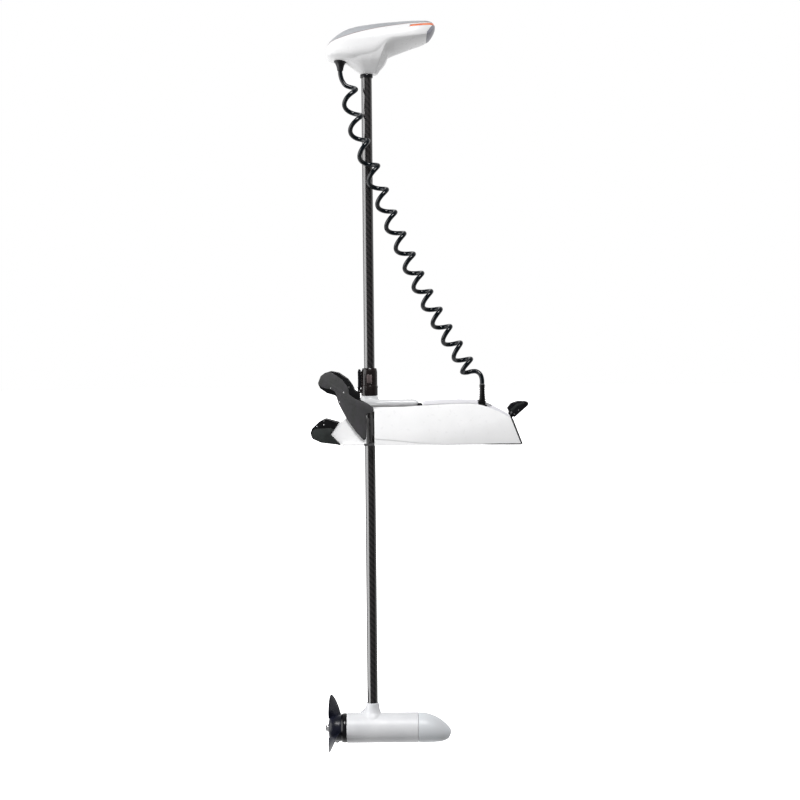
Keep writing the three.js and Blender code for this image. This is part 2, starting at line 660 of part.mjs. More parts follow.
// ---- curly cord ---------------------------------------------------------------------------
// The cord's middle line from the head's gland down to the mount's strain relief.
const CORD_ROUTE = [
  [GLAND.x, GLAND.y, GLAND.low], [GLAND.x, GLAND.y, 1088], [-73, -22, 1072], [-63, -28, 1050],
  [-52, -36, 1026], [-45, -42, 990], [-37, -47, 951], [-20, -51, 880], [9, -52, 805], [34, -52, 735],
  [59, -51, 666], [84, -50, 605], [110, -48, 547], [135, -46, 489], [162, -43, 433], [190, -40, 379],
  [219, -37, 327], [247, -34, 282], [270, -32, 246], [292, -30, 223], [312, -29, 211],
  [324, -28, 198], [RELIEF.x, RELIEF.y, 184], [RELIEF.x, RELIEF.y, RELIEF.high],
];
const cordLine = new THREE.CatmullRomCurve3(CORD_ROUTE.map((p) => new THREE.Vector3(...p)));

function cordParameter(z) {
  let [low, high] = [0, 1];
  for (let i = 0; i < 40; i += 1) {
    const middle = (low + high) / 2;
    if (cordLine.getPoint(middle).z > z) low = middle;
    else high = middle;
  }
  return low;
}

class Stretch extends THREE.Curve {
  constructor(zHigh, zLow) {
    super();
    this.ends = [cordParameter(zHigh), cordParameter(zLow)];
  }

  getPoint(t) {
    return cordLine.getPoint(this.ends[0] + (this.ends[1] - this.ends[0]) * t);
  }
}

function along(curve, radius, steps, sides) {
  const section = outline(ring(sides, (t) => [radius * Math.cos(t), radius * Math.sin(t)]));
  return new THREE.ExtrudeGeometry(section, { steps, extrudePath: curve, bevelEnabled: false });
}

const CORD_GAP = 0.5;
const cordPiece = (zHigh, zLow, radius, steps) => (
  along(new Stretch(zHigh - CORD_GAP, zLow), radius, steps, 10)
);

// ---- assembly -----------------------------------------------------------------------------
const FINISH = {
  white: { color: 0xf2f2f4, roughness: 0.3, metalness: 0 },
  silver: { color: 0xa9adb2, roughness: 0.35, metalness: 0.1 },
  orange: { color: 0xd2694a, roughness: 0.4, metalness: 0 },
  motorPaint: { color: 0xdfe1e6, roughness: 0.4, metalness: 0 },
  carbon: { color: 0x1b1a1c, roughness: 0.25, metalness: 0 },
  black: { color: 0x151517, roughness: 0.35, metalness: 0 },
  graphite: { color: 0x454549, roughness: 0.6, metalness: 0 },
  rubber: { color: 0x0f0f10, roughness: 0.7, metalness: 0 },
  steel: { color: 0xb4b7bb, roughness: 0.3, metalness: 1 },
  brass: { color: 0xb59a55, roughness: 0.35, metalness: 1 },
  copper: { color: 0xa5623a, roughness: 0.4, metalness: 1 },
  ferrite: { color: 0x3b3b3e, roughness: 0.7, metalness: 0 },
  board: { color: 0x1f5a3a, roughness: 0.5, metalness: 0 },
};

const PIECES = {
  head_shell: [headShell(), 'white'],
  head_cover: [headCover(), 'silver'],
  head_nose_cap: [noseCap(), 'silver'],
  indicator_strip: [indicatorStrip(), 'orange'],
  head_circuit_board: [headBoard(), 'board'],
  gps_antenna: [gpsAntenna(), 'ferrite'],
  cord_gland: [cordGland(), 'rubber'],
  shaft_tube: [shaftTube(), 'carbon'],
  shaft_ferrule: [shaftFerrule(), 'black'],
  motor_leads: [motorLeads(), 'rubber'],
  motor_housing: [motorHousing(), 'motorPaint'],
  nose_cone: [noseCone(), 'motorPaint'],
  rear_end_bell: [rearEndBell(), 'black'],
  front_end_bell: [frontEndBell(), 'steel'],
  rear_bearing: [roundArbor(14, -86, -77), 'steel'],
  front_bearing: [roundArbor(12, 110, 118), 'steel'],
  shaft_seal: [roundArbor(12.6, -90.8, -86.6), 'rubber'],
  magnet_upper: [magnet(1), 'ferrite'],
  magnet_lower: [magnet(-1), 'ferrite'],
  through_bolt_left: [throughBolt(-1), 'steel'],
  through_bolt_right: [throughBolt(1), 'steel'],
  brush_plate: [brushPlate(), 'ferrite'],
  motor_shaft: [motorShaft(), 'steel'],
  armature: [armature(), 'steel'],
  commutator: [commutator(), 'copper'],
  propeller: [propeller(), 'black'],
  prop_drive_pin: [drivePin(), 'steel'],
  prop_nut: [propNut(), 'steel'],
  steering_housing: [steeringHousing(), 'white'],
  steering_cover: [steeringCover(), 'white'],
  steering_motor: [steeringMotor(), 'steel'],
  steering_gearbox: [steeringGearbox(), 'steel'],
  steering_pinion: [steeringPinion(), 'steel'],
  steering_gear: [steeringGear(), 'brass'],
  hub_sleeve: [hubSleeve(), 'steel'],
  lower_bush: [bush(HOUSING_Z, 102.4), 'brass'],
  upper_bush: [bush(119, 126.7), 'brass'],
  depth_collar: [depthCollar(), 'black'],
  collar_lever: [collarLever(), 'black'],
  collar_lever_pin: [collarLeverPin(), 'steel'],
  deck_channel: [deckChannel(), 'white'],
  rear_cover: [rearCover(), 'white'],
  end_cap: [endCap(), 'black'],
  cradle_arm_left: [cradleArm(-1), 'graphite'],
  cradle_arm_right: [cradleArm(1), 'graphite'],
  cradle_horn_left: [cradleHorn(-1), 'black'],
  cradle_horn_right: [cradleHorn(1), 'black'],
  tilt_pin: [tiltPin(), 'steel'],
  control_board: [controlBoard(), 'board'],
  strain_relief: [strainRelief(), 'rubber'],
  power_gland: [powerGland(), 'rubber'],
  release_lever: [releaseLever(), 'black'],
  release_lever_pin: [leverPin(), 'steel'],
  latch_bar: [latchBar(), 'steel'],
  latch_spring: [latchSpring(), 'steel'],
  cord_tail_upper: [cordPiece(GLAND.low, 1040, CORD_R, 5), 'rubber'],
  coil_cord_upper: [cordPiece(1040, 760, COIL_TOP_R, 12), 'rubber'],
  coil_cord_middle: [cordPiece(760, 560, COIL_R, 7), 'rubber'],
  coil_cord_lower: [cordPiece(560, 236, COIL_R, 13), 'rubber'],
  cord_tail_lower: [cordPiece(236, RELIEF.high, CORD_R, 8), 'rubber'],
};

const trollingMotor = new THREE.Group();
const aboutShaft = new THREE.Group();
aboutShaft.position.x = SHAFT_X;
trollingMotor.add(aboutShaft);
for (const [name, [geometry, finish]] of Object.entries(PIECES)) {
  const mesh = new THREE.Mesh(closed(geometry), new THREE.MeshStandardMaterial(FINISH[finish]));
  mesh.name = name;
  aboutShaft.add(mesh);
}

export default trollingMotor;
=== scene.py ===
import math

import bmesh
import bpy
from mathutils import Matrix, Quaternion, Vector


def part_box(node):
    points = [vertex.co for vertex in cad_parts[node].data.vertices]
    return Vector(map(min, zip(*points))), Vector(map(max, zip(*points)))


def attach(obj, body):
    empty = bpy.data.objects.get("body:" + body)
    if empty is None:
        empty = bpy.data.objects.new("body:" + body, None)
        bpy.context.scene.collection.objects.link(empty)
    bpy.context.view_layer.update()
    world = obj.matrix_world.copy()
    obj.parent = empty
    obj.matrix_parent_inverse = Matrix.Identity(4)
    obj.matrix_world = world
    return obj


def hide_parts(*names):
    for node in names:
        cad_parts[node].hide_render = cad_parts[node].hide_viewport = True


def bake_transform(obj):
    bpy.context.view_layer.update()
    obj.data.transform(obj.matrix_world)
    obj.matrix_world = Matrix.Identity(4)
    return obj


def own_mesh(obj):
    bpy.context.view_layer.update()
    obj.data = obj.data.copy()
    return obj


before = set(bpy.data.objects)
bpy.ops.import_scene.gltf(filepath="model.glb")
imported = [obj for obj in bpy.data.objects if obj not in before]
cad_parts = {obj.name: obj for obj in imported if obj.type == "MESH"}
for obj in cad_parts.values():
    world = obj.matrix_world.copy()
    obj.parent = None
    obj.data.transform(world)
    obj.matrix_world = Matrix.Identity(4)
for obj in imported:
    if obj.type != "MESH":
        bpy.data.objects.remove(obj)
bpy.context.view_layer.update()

MM = 0.001
SHAFT_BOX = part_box("shaft_tube")
AXIS_X = (SHAFT_BOX[0].x + SHAFT_BOX[1].x) / 2
SHAFT_R = 15.5
SCENE = bpy.context.scene

# Camera, world and floor, in metres.
CAMERA_PLACE = (-0.137, -4.8, 0.180)
CAMERA_TARGET = (-0.137, 0, 0.130)
CAMERA_LENS = 74.5
CAMERA_ROLL = math.radians(-0.56)
WORLD_BELOW, WORLD_ABOVE, WORLD_RIGHT, WORLD_FRONT = 1.35, 0.35, 0.5, 0.11
FLOOR_Z = -1.08
FLOOR_HALF = 400
FLOOR_GLOW = 1.6
# [name, place, target, size, watts]
LIGHTS = [
    ("side_box", (-3.36, -1.02, 0.2), (-0.225, 0, 0.2), (3.2, 3.5), 118),
    ("high_box", (0.5, -4.0, 4.3), (-0.05, 0, 0.1), (2.6, 1.5), 320),
]


def at(x, y, z):
    return Vector((AXIS_X + x * MM, y * MM, z * MM))


# ---- camera and light ----
def set_camera():
    camera = bpy.data.objects.new("camera", bpy.data.cameras.new("camera"))
    SCENE.collection.objects.link(camera)
    camera.data.lens = CAMERA_LENS
    camera.data.sensor_width = 36
    camera.data.clip_end = 2000
    camera.location = CAMERA_PLACE
    look = Vector(CAMERA_TARGET) - camera.location
    camera.rotation_mode = "QUATERNION"
    roll = Quaternion((0, 0, 1), CAMERA_ROLL)
    camera.rotation_quaternion = look.to_track_quat("-Z", "Y") @ roll
    SCENE.camera = camera


def area_light(name, place, target, size, watts):
    light = bpy.data.lights.new(name, "AREA")
    light.shape = "RECTANGLE"
    light.size, light.size_y = size
    light.energy = watts
    lamp = bpy.data.objects.new(name, light)
    lamp.location = place
    lamp.rotation_mode = "QUATERNION"
    lamp.rotation_quaternion = (Vector(target) - Vector(place)).to_track_quat("-Z", "Y")
    SCENE.collection.objects.link(lamp)


def map_range(tree, source, limits, outputs, kind="LINEAR"):
    node = tree.nodes.new("ShaderNodeMapRange")
    node.interpolation_type = kind
    tree.links.new(source, node.inputs["Value"])
    for key, value in zip(("From Min", "From Max", "To Min", "To Max"), (*limits, *outputs)):
        node.inputs[key].default_value = value
    return node.outputs["Result"]


def set_world():
    """White behind the object, brighter below, dimmer overhead and to the right, dark in front."""
    world = bpy.data.worlds.new("studio")
    SCENE.world = world
    world.use_nodes = True
    tree = world.node_tree
    background = tree.nodes["Background"]
    coords = tree.nodes.new("ShaderNodeTexCoord")
    split = tree.nodes.new("ShaderNodeSeparateXYZ")
    tree.links.new(coords.outputs["Generated"], split.inputs[0])

    def soft(axis, limits, outputs):
        return map_range(tree, split.outputs[axis], limits, outputs, "SMOOTHSTEP")

    def product(a, b):
        node = tree.nodes.new("ShaderNodeMath")
        node.operation = "MULTIPLY"
        tree.links.new(a, node.inputs[0])
        tree.links.new(b, node.inputs[1])
        return node.outputs[0]

    up = product(soft("Z", (-0.45, -0.06), (WORLD_BELOW, 1)),
                 soft("Z", (0.35, 0.85), (1, WORLD_ABOVE)))
    side = soft("X", (0.35, 0.95), (1, WORLD_RIGHT))
    front = soft("Y", (-0.5, 0.3), (WORLD_FRONT, 1))
    tree.links.new(product(product(up, side), front), background.inputs["Strength"])
    background.inputs["Color"].default_value = (1, 1, 1, 1)


def set_floor():
    signs = ((-1, -1), (1, -1), (1, 1), (-1, 1))
    corners = [(x * FLOOR_HALF, y * FLOOR_HALF, 0) for x, y in signs]
    floor = new_object("floor", corners, [(0, 1, 2, 3)], metres=True)
    floor.location.z = FLOOR_Z
    floor.visible_diffuse = False
    floor.visible_glossy = False
    floor.visible_shadow = False
    m = Nodes("floor_white")
    m.set(Specular_IOR_Level=0.0, Roughness=0.9, Emission_Color=(1, 1, 1, 1),
          Emission_Strength=FLOOR_GLOW)
    m.colour(m.mix(m.noise(0.7), (0.97, 0.97, 0.97), (0.99, 0.99, 0.99)))
    floor.data.materials.append(m.material)


# ---- mesh helpers ----
def new_object(name, verts, faces, metres=False):
    mesh = bpy.data.meshes.new(name)
    mesh.from_pydata([v if metres else at(*v) for v in verts], [], faces)
    obj = bpy.data.objects.new(name, mesh)
    SCENE.collection.objects.link(obj)
    body = bmesh.new()
    body.from_mesh(mesh)
    bmesh.ops.recalc_face_normals(body, faces=body.faces)
    body.to_mesh(mesh)
    body.free()
    return obj


def applied(obj):
    bpy.context.view_layer.update()
    graph = bpy.context.evaluated_depsgraph_get()
    mesh = bpy.data.meshes.new_from_object(obj.evaluated_get(graph))
    old = obj.data
    obj.modifiers.clear()
    obj.data = mesh
    bpy.data.meshes.remove(old)
    return obj


def copy_of(obj, name):
    twin = bpy.data.objects.new(name, obj.data.copy())
    SCENE.collection.objects.link(twin)
    return twin


def combined(obj, operation, others):
    """obj with each of others joined on, cut away or kept in common. The others are used up."""
    for other in others:
        step = obj.modifiers.new(operation, "BOOLEAN")
        step.operation = operation
        step.solver = "EXACT"
        step.object = other
        applied(obj)
        bpy.data.objects.remove(other)
    return obj


def union(obj, *others):
    return combined(obj, "UNION", others)


def cut(obj, *others):
    return combined(obj, "DIFFERENCE", others)


def meet(obj, *others):
    return combined(obj, "INTERSECT", others)


def bevelled(obj, width, segments=3, angle=35):
    step = obj.modifiers.new("bevel", "BEVEL")
    step.width = width * MM
    step.segments = segments
    step.limit_method = "ANGLE"
    step.angle_limit = math.radians(angle)
    step.use_clamp_overlap = True
    return applied(obj)


def moulded(obj, voxel, rounds, factor=0.5):
    """The body remeshed evenly and smoothed, so that its edges and joins become fillets."""
    remesh = obj.modifiers.new("remesh", "REMESH")
    remesh.mode = "VOXEL"
    remesh.voxel_size = voxel * MM
    smooth = obj.modifiers.new("smooth", "SMOOTH")
    smooth.factor = factor
    smooth.iterations = rounds
    return applied(obj)


def loft(name, rings):
    count = len(rings[0])
    verts = [p for ring in rings for p in ring]
    faces = []
    for k in range(len(rings) - 1):
        for i in range(count):
            a, b = k * count + i, k * count + (i + 1) % count
            faces.append((a, b, b + count, a + count))
    faces.append(tuple(range(count)))
    faces.append(tuple(range(len(verts) - count, len(verts))))
    return new_object(name, verts, faces)


def lathe(name, profile, axis="z", centre=(0, 0, 0), sides=64):
    """A turned body from [(radius, distance along the axis)], ending on the axis or closing."""
    verts, rows = [], []
    cx, cy, cz = centre
    for r, a in profile:
        row = []
        for i in range(sides if r > 1e-6 else 1):
            t = 2 * math.pi * i / sides
            u, v = r * math.cos(t), r * math.sin(t)
            x, y, z = {"z": (u, v, a), "x": (a, u, v), "y": (v, a, u)}[axis]
            row.append(len(verts))
            verts.append((cx + x, cy + y, cz + z))
        rows.append(row)
    if profile[0][0] > 1e-6:
        rows.append(rows[0])
    faces = []
    for low, high in zip(rows, rows[1:]):
        for i in range(sides):
            a, b = low[i % len(low)], low[(i + 1) % len(low)]
            c, d = high[(i + 1) % len(high)], high[i % len(high)]
            faces.append(tuple(dict.fromkeys((a, b, c, d))))
    return new_object(name, verts, faces)


def rod(r, low, high, axis="z", centre=(0, 0, 0), sides=48, name="rod"):
    return lathe(name, [(0, low), (r, low), (r, high), (0, high)], axis, centre, sides)


def prism(name, points, low, high, place):
    """An outline drawn out from low to high. place orders (across, across, along) as x, y, z."""
    count = len(points)
    verts = [place(a, b, level) for level in (low, high) for a, b in points]
    faces = [tuple(range(count)), tuple(range(2 * count - 1, count - 1, -1))]
    faces += [(i, (i + 1) % count, count + (i + 1) % count, count + i) for i in range(count)]
    return new_object(name, verts, faces)


def plate(name, points, y_low, y_high):
    """A plate with an outline in x and z, between two values of y."""
    return prism(name, points, y_low, y_high, lambda x, z, y: (x, y, z))


def flat_plate(name, points, z_low, z_high):
    return prism(name, points, z_low, z_high, lambda x, y, z: (x, y, z))


def block(name, x0, x1, y0, y1, z0, z1):
    return flat_plate(name, [(x0, y0), (x1, y0), (x1, y1), (x0, y1)], z0, z1)


def side_span(side, near, far):
    return (near, far) if side > 0 else (-far, -near)


def rounded(points, radius, steps=5):
    """A polygon with its corners rounded, by one radius or one for each corner."""
    radii = radius if hasattr(radius, "__len__") else [radius] * len(points)
    out = []
    for i, here in enumerate(points):
        corner = Vector(here)
        a, b = Vector(points[i - 1]) - corner, Vector(points[(i + 1) % len(points)]) - corner
        reach = min(radii[i] / math.tan(a.angle(b) / 2), 0.48 * a.length, 0.48 * b.length)
        if reach < 0.05:
            out.append(tuple(corner))
            continue
        start, end = corner + a.normalized() * reach, corner + b.normalized() * reach
        for k in range(steps + 1):
            t = k / steps
            out.append(tuple((1 - t) ** 2 * start + 2 * t * (1 - t) * corner + t * t * end))
    return out


def smooth_line(points, per=8):
    """Points along a smooth curve through the given ones, of any dimension."""
    line = [Vector(p) for p in points]
    ends = [2 * line[0] - line[1]] + line + [2 * line[-1] - line[-2]]
    out = []
    for p0, p1, p2, p3 in zip(ends, ends[1:], ends[2:], ends[3:]):
        k0, k1, k2 = ((q - p).length ** 0.5 for p, q in ((p0, p1), (p1, p2), (p2, p3)))
        m1 = (p2 - p1) + k1 * ((p1 - p0) / k0 - (p2 - p0) / (k0 + k1))
        m2 = (p2 - p1) + k1 * ((p3 - p2) / k2 - (p3 - p1) / (k1 + k2))
        for i in range(per):
            t = i / per
            out.append((2 * t ** 3 - 3 * t ** 2 + 1) * p1 + (t ** 3 - 2 * t ** 2 + t) * m1
                       + (3 * t ** 2 - 2 * t ** 3) * p2 + (t ** 3 - t ** 2) * m2)
    return [tuple(p) for p in out] + [tuple(line[-1])]


def tube(name, path, radius, sides=16):
    """A closed tube round a path of points, with no twist."""
    line = [Vector(p) for p in path]
    tangents = [(after - before).normalized()
                for before, after in zip(line[:1] + line[:-1], line[1:] + line[-1:])]
    normal = tangents[0].orthogonal().normalized()
    rings = []
    for point, tangent in zip(line, tangents):
        normal = (normal - normal.dot(tangent) * tangent).normalized()
        side = tangent.cross(normal)
        rings.append([tuple(point + radius * (math.cos(t) * normal + math.sin(t) * side))
                      for t in (2 * math.pi * i / sides for i in range(sides))])
    return loft(name, rings)


def finished(obj, body, material, replaces=(), angle=35):
    """Smooth shading, one of MATERIALS, and the body it moves with."""
    for face in obj.data.polygons:
        face.use_smooth = True
    obj.data.set_sharp_from_angle(angle=math.radians(angle))
    obj.data.materials.clear()
    obj.data.materials.append(MATERIALS[material])
    if replaces:
        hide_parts(*replaces)
    if body:
        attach(obj, body)
    return obj


# ---- materials ----
class Nodes:
    """A few short calls for building a material's node tree."""

    def __init__(self, name):
        self.material = bpy.data.materials.new(name)
        self.material.use_nodes = True
        self.tree = self.material.node_tree
        self.shader = self.tree.nodes["Principled BSDF"]
        self.coords = self.tree.nodes.new("ShaderNodeTexCoord").outputs["Object"]

    def set(self, **values):
        for key, value in values.items():
            self.shader.inputs[key.replace("_", " ")].default_value = value

    def put(self, socket, target):
        if hasattr(socket, "is_linked"):
            self.tree.links.new(socket, target)
        else:
            target.default_value = socket

    def math(self, operation, a, b=0.0):
        node = self.tree.nodes.new("ShaderNodeMath")
        node.operation = operation
        self.put(a, node.inputs[0])
        self.put(b, node.inputs[1])
        return node.outputs[0]

    def noise(self, scale, detail=3.0, stretch=(1, 1, 1), rough=0.5):
        mapping = self.tree.nodes.new("ShaderNodeMapping")
        mapping.inputs["Scale"].default_value = stretch
        self.tree.links.new(self.coords, mapping.inputs["Vector"])
        node = self.tree.nodes.new("ShaderNodeTexNoise")
        node.inputs["Scale"].default_value = scale
        node.inputs["Detail"].default_value = detail
        node.inputs["Roughness"].default_value = rough
        self.tree.links.new(mapping.outputs[0], node.inputs["Vector"])
        return node.outputs["Fac"]

    def spread(self, source, low, high, out_low, out_high):
        return map_range(self.tree, source, (low, high), (out_low, out_high))

    def mix(self, factor, a, b):
        node = self.tree.nodes.new("ShaderNodeMix")
        node.data_type = "RGBA"
        self.put(factor, node.inputs["Factor"])
        for value, key in ((a, "A"), (b, "B")):
            socket = [s for s in node.inputs if s.name == key and s.type == "RGBA"][0]
            self.put((*value, 1) if isinstance(value, tuple) else value, socket)
        return [s for s in node.outputs if s.type == "RGBA"][0]

    def split(self):
        node = self.tree.nodes.new("ShaderNodeSeparateXYZ")
        self.tree.links.new(self.coords, node.inputs[0])
        return node.outputs["X"], node.outputs["Y"], node.outputs["Z"]

    def colour(self, source):
        self.tree.links.new(source, self.shader.inputs["Base Color"])

    def roughness(self, source):
        self.tree.links.new(source, self.shader.inputs["Roughness"])

    def bump(self, height, depth_mm, strength=1.0):
        node = self.tree.nodes.new("ShaderNodeBump")
        node.inputs["Strength"].default_value = strength
        node.inputs["Distance"].default_value = depth_mm * MM
        self.tree.links.new(height, node.inputs["Height"])
        self.tree.links.new(node.outputs[0], self.shader.inputs["Normal"])


def scaled(colour, k):
    return tuple(min(1.0, c * k) for c in colour[:3])


def plastic(name, base, roughness, vary, bump, scale=25, grain=900, spec=0.5, coat=0.0,
            metallic=0.0, tint=None, stretch=(1, 1, 1)):
    """Moulded, painted or cast stuff: a cloudy colour, a patchy gloss and a fine grain."""
    m = Nodes(name)
    m.set(Metallic=metallic, Specular_IOR_Level=spec, Coat_Weight=coat, Coat_Roughness=0.08)
    cloud = m.noise(scale, 4, stretch)
    other = tint or scaled(base, 1 - 2.5 * vary)
    m.colour(m.mix(m.spread(cloud, 0.3, 0.7, 0.0, 1.0), scaled(base, 1 + vary), other))
    patch = m.noise(scale * 3.1, 3, stretch)
    m.roughness(m.spread(patch, 0.25, 0.75, roughness * 0.82, roughness * 1.25))
    m.bump(m.noise(grain, 2, stretch), bump)
    return m.material


def brushed(name, base, roughness, stretch=(30, 1, 1)):
    """Turned or drawn metal, with fine lines along one direction."""
    m = Nodes(name)
    m.set(Metallic=1.0)
    lines = m.noise(90, 5, stretch, 0.7)
    m.colour(m.mix(m.spread(lines, 0.3, 0.7, 0.0, 1.0), scaled(base, 0.78), scaled(base, 1.12)))
    m.roughness(m.spread(lines, 0.2, 0.8, roughness * 0.7, roughness * 1.4))
    m.bump(lines, 0.02)
    return m.material


TOW_WIDTH = 4.4


def carbon_twill(name):
    """Carbon cloth wound on a tube: a 2 by 2 twill of shiny black tows under clear resin."""
    m = Nodes(name)
    m.set(Specular_IOR_Level=0.2, Coat_Weight=1.0, Coat_Roughness=0.12, Coat_IOR=1.95)
    x, y, z = m.split()
    angle = m.math("ARCTAN2", y, m.math("SUBTRACT", x, AXIS_X))
    cell = TOW_WIDTH * MM
    columns = round(2 * math.pi * SHAFT_R * MM / cell / 4) * 4
    u = m.math("MULTIPLY", angle, columns / (2 * math.pi))
    v = m.math("DIVIDE", z, cell)
    shifted = m.math("ADD", m.math("FLOOR", u), m.math("FLOOR", v))
    over = m.math("LESS_THAN", m.math("FLOORED_MODULO", shifted, 4.0), 2.0)
    across = m.math("PINGPONG", u, 0.5)
    along = m.math("PINGPONG", v, 0.5)
    under = m.math("SUBTRACT", 1.0, over)
    crown = m.math("ADD", m.math("MULTIPLY", over, across), m.math("MULTIPLY", under, along))
    fibres = m.noise(2600, 2, (1, 1, 0.15))
    tow = m.mix(over, (0.0005, 0.0005, 0.0005), (0.022, 0.018, 0.019))
    m.colour(m.mix(m.spread(fibres, 0.35, 0.65, 0.0, 0.3), tow, (0.004, 0.004, 0.004)))
    m.roughness(m.spread(crown, 0.0, 0.5, 0.5, 0.3))
    m.bump(m.math("ADD", crown, m.math("MULTIPLY", fibres, 0.3)), 0.12, 0.35)
    return m.material


def board_green(name):
    m = Nodes(name)
    m.set(Specular_IOR_Level=0.4)
    x, y, _ = m.split()
    wander = m.math("ADD", x, m.noise(60, 0))
    lines = m.math("LESS_THAN", m.math("PINGPONG", wander, 0.0012), 0.0004)
    rows = m.math("LESS_THAN", m.math("PINGPONG", y, 0.0021), 0.0005)
    traces = m.math("MAXIMUM", m.math("MULTIPLY", lines, 0.6), rows)
    m.colour(m.mix(traces, (0.012, 0.09, 0.045), (0.06, 0.22, 0.11)))
    m.roughness(m.spread(m.noise(300), 0.3, 0.7, 0.35, 0.5))
    return m.material


PAINT = {"grain": 300, "coat": 0.15}
# [name, colour, roughness, how much the colour varies, depth of the grain, other settings]
PLASTICS = {
    "white": ("white_gloss", (0.72, 0.72, 0.725), 0.3, 0.012, 0.006, PAINT),
    "mount": ("white_mount_paint", (0.92, 0.92, 0.925), 0.3, 0.01, 0.006, PAINT),
    "cover": ("steering_cover_paint", (0.66, 0.665, 0.675), 0.3, 0.01, 0.006, PAINT),
    "lilac": ("cover_white", (0.85, 0.845, 0.88), 0.3, 0.02, 0.01, {"grain": 500, "coat": 0.2}),
    "silver": ("silver_cover_plastic", (0.29, 0.30, 0.315), 0.32, 0.1, 0.01,
               {"scale": 14, "coat": 0.2, "tint": (0.38, 0.39, 0.41)}),
    "nose_grey": ("nose_cap_plastic", (0.19, 0.19, 0.22), 0.35, 0.1, 0.02,
                  {"scale": 60, "tint": (0.30, 0.30, 0.34)}),
    "gasket": ("seam_gasket_rubber", (0.20, 0.09, 0.08), 0.6, 0.1, 0.02, {}),
    "orange": ("indicator_orange", (0.62, 0.13, 0.06), 0.3, 0.08, 0.01,
               {"scale": 60, "coat": 0.4, "tint": (0.80, 0.26, 0.13)}),
    "motor": ("motor_satin_paint", (0.74, 0.745, 0.76), 0.38, 0.02, 0.015,
              {"scale": 12, "grain": 600, "tint": (0.63, 0.635, 0.66)}),
    "nose": ("motor_nose_paint", (0.68, 0.71, 0.74), 0.38, 0.02, 0.015,
             {"scale": 16, "grain": 600, "tint": (0.66, 0.67, 0.69)}),
    "black": ("black_gloss_plastic", (0.008, 0.008, 0.010), 0.2, 0.3, 0.02,
              {"grain": 700, "spec": 0.3}),
    "collar": ("collar_black_plastic", (0.014, 0.010, 0.010), 0.2, 0.3, 0.02,
               {"grain": 700, "spec": 0.35}),
    "collar_panel": ("collar_panel_bronze", (0.13, 0.10, 0.10), 0.3, 0.2, 0.02,
                     {"scale": 120, "stretch": (1, 1, 0.1), "spec": 0.8}),
    "prop": ("propeller_navy_plastic", (0.008, 0.009, 0.018), 0.3, 0.2, 0.03,
             {"grain": 500, "spec": 0.3}),
    "graphite": ("graphite_matte_plastic", (0.030, 0.031, 0.030), 0.58, 0.4, 0.18,
                 {"scale": 70, "grain": 500, "stretch": (1, 1, 0.4), "spec": 0.3,
                  "tint": (0.055, 0.052, 0.058)}),
    "horn_grey": ("horn_matte_plastic", (0.018, 0.022, 0.021), 0.6, 0.15, 0.08,
                  {"scale": 40, "spec": 0.3}),
    "arm_gloss": ("arm_black_gloss", (0.006, 0.006, 0.007), 0.22, 0.3, 0.02,
                  {"grain": 600, "spec": 0.4}),
    "rubber": ("black_moulded_rubber", (0.008, 0.008, 0.009), 0.36, 0.2, 0.04,
               {"grain": 800, "spec": 0.35}),
    # Grey of the strip under the steering cover: painted shade for the shadow in the gap below the
    # cover.
    "seal": ("cover_seal_rubber", (0.26, 0.26, 0.26), 0.6, 0.15, 0.03, {"grain": 700}),
    "boot_grey": ("grey_boot_rubber", (0.34, 0.34, 0.35), 0.5, 0.2, 0.05, {"grain": 800}),
    "cord": ("cord_jacket_rubber", (0.002, 0.004, 0.006), 0.16, 0.3, 0.02,
             {"scale": 90, "grain": 1200, "tint": (0.001, 0.003, 0.005), "spec": 0.36}),
    "cast": ("cast_aluminium", (0.55, 0.56, 0.58), 0.5, 0.06, 0.1,
             {"scale": 80, "grain": 400, "metallic": 0.9}),
    "ferrite": ("sintered_ferrite", (0.035, 0.035, 0.038), 0.65, 0.25, 0.1,
                {"scale": 200, "grain": 1500}),
}
METALS = {
    "steel": ("brushed_steel", (0.62, 0.63, 0.65), 0.28),
    "bright_steel": ("screw_steel", (0.85, 0.85, 0.86), 0.2, (6, 6, 6)),
    "brass": ("turned_brass", (0.62, 0.44, 0.18), 0.3, (1, 1, 20)),
    "copper": ("copper_bars", (0.70, 0.32, 0.18), 0.32),
}


def make_materials():
    made = {key: plastic(*values, **more) for key, (*values, more) in PLASTICS.items()}
    made.update({key: brushed(*values) for key, values in METALS.items()})
    made.update({"carbon": carbon_twill("carbon_tube"), "board": board_green("circuit_board_mask")})
    return made


# ---- cord ----
GLAND = (-75, -20, 1096)
RELIEF = (325, -28, 174)
CORD_R = 6.6
# The middle line of the coil, as the CAD model's cord solids follow it.
COIL_LINE = [
    GLAND, (-75, -20, 1088), (-73, -22, 1072), (-63, -28, 1050), (-52, -36, 1026), (-45, -42, 990),
    (-37, -47, 951), (-20, -51, 880), (9, -52, 805), (34, -52, 735), (59, -51, 666), (84, -50, 605),
    (110, -48, 547), (135, -46, 489), (162, -43, 433), (190, -40, 379), (219, -37, 327),
    (247, -34, 282), (270, -32, 246), (287, -31, 214),
]
# From the head's gland to the coil's first turn.
CORD_LEAD = [GLAND, (-75.5, -20, 1084), (-74, -20, 1067), (-69, -20, 1051), (-59, -21, 1037.5)]
# From the coil's last turn over to the strain relief.
CORD_EXIT = [
    (281, -23, 207.5), (295, -20, 210.5), (309, -22, 210.5), (320, -26, 202), (324.6, -28, 188),
    RELIEF,
]
COIL_RADIUS = 20.6
RING_TILT = math.radians(14)
TURN_STEPS = 32
FIRST_TURN, LAST_TURN = -0.12, 13.46
# Height of turn 0, fall to the next turn, and how much less each turn falls.
TURN_0_Z, TURN_FALL, TURN_EASE = 1019.5, 75.9, 1.21
SAG, SAG_TURNS = 8, 9.5
# Heights at which the cord is cut into its three pieces, where it crosses a joint.
UPPER_END_Z, MIDDLE_END_Z = 762, 558


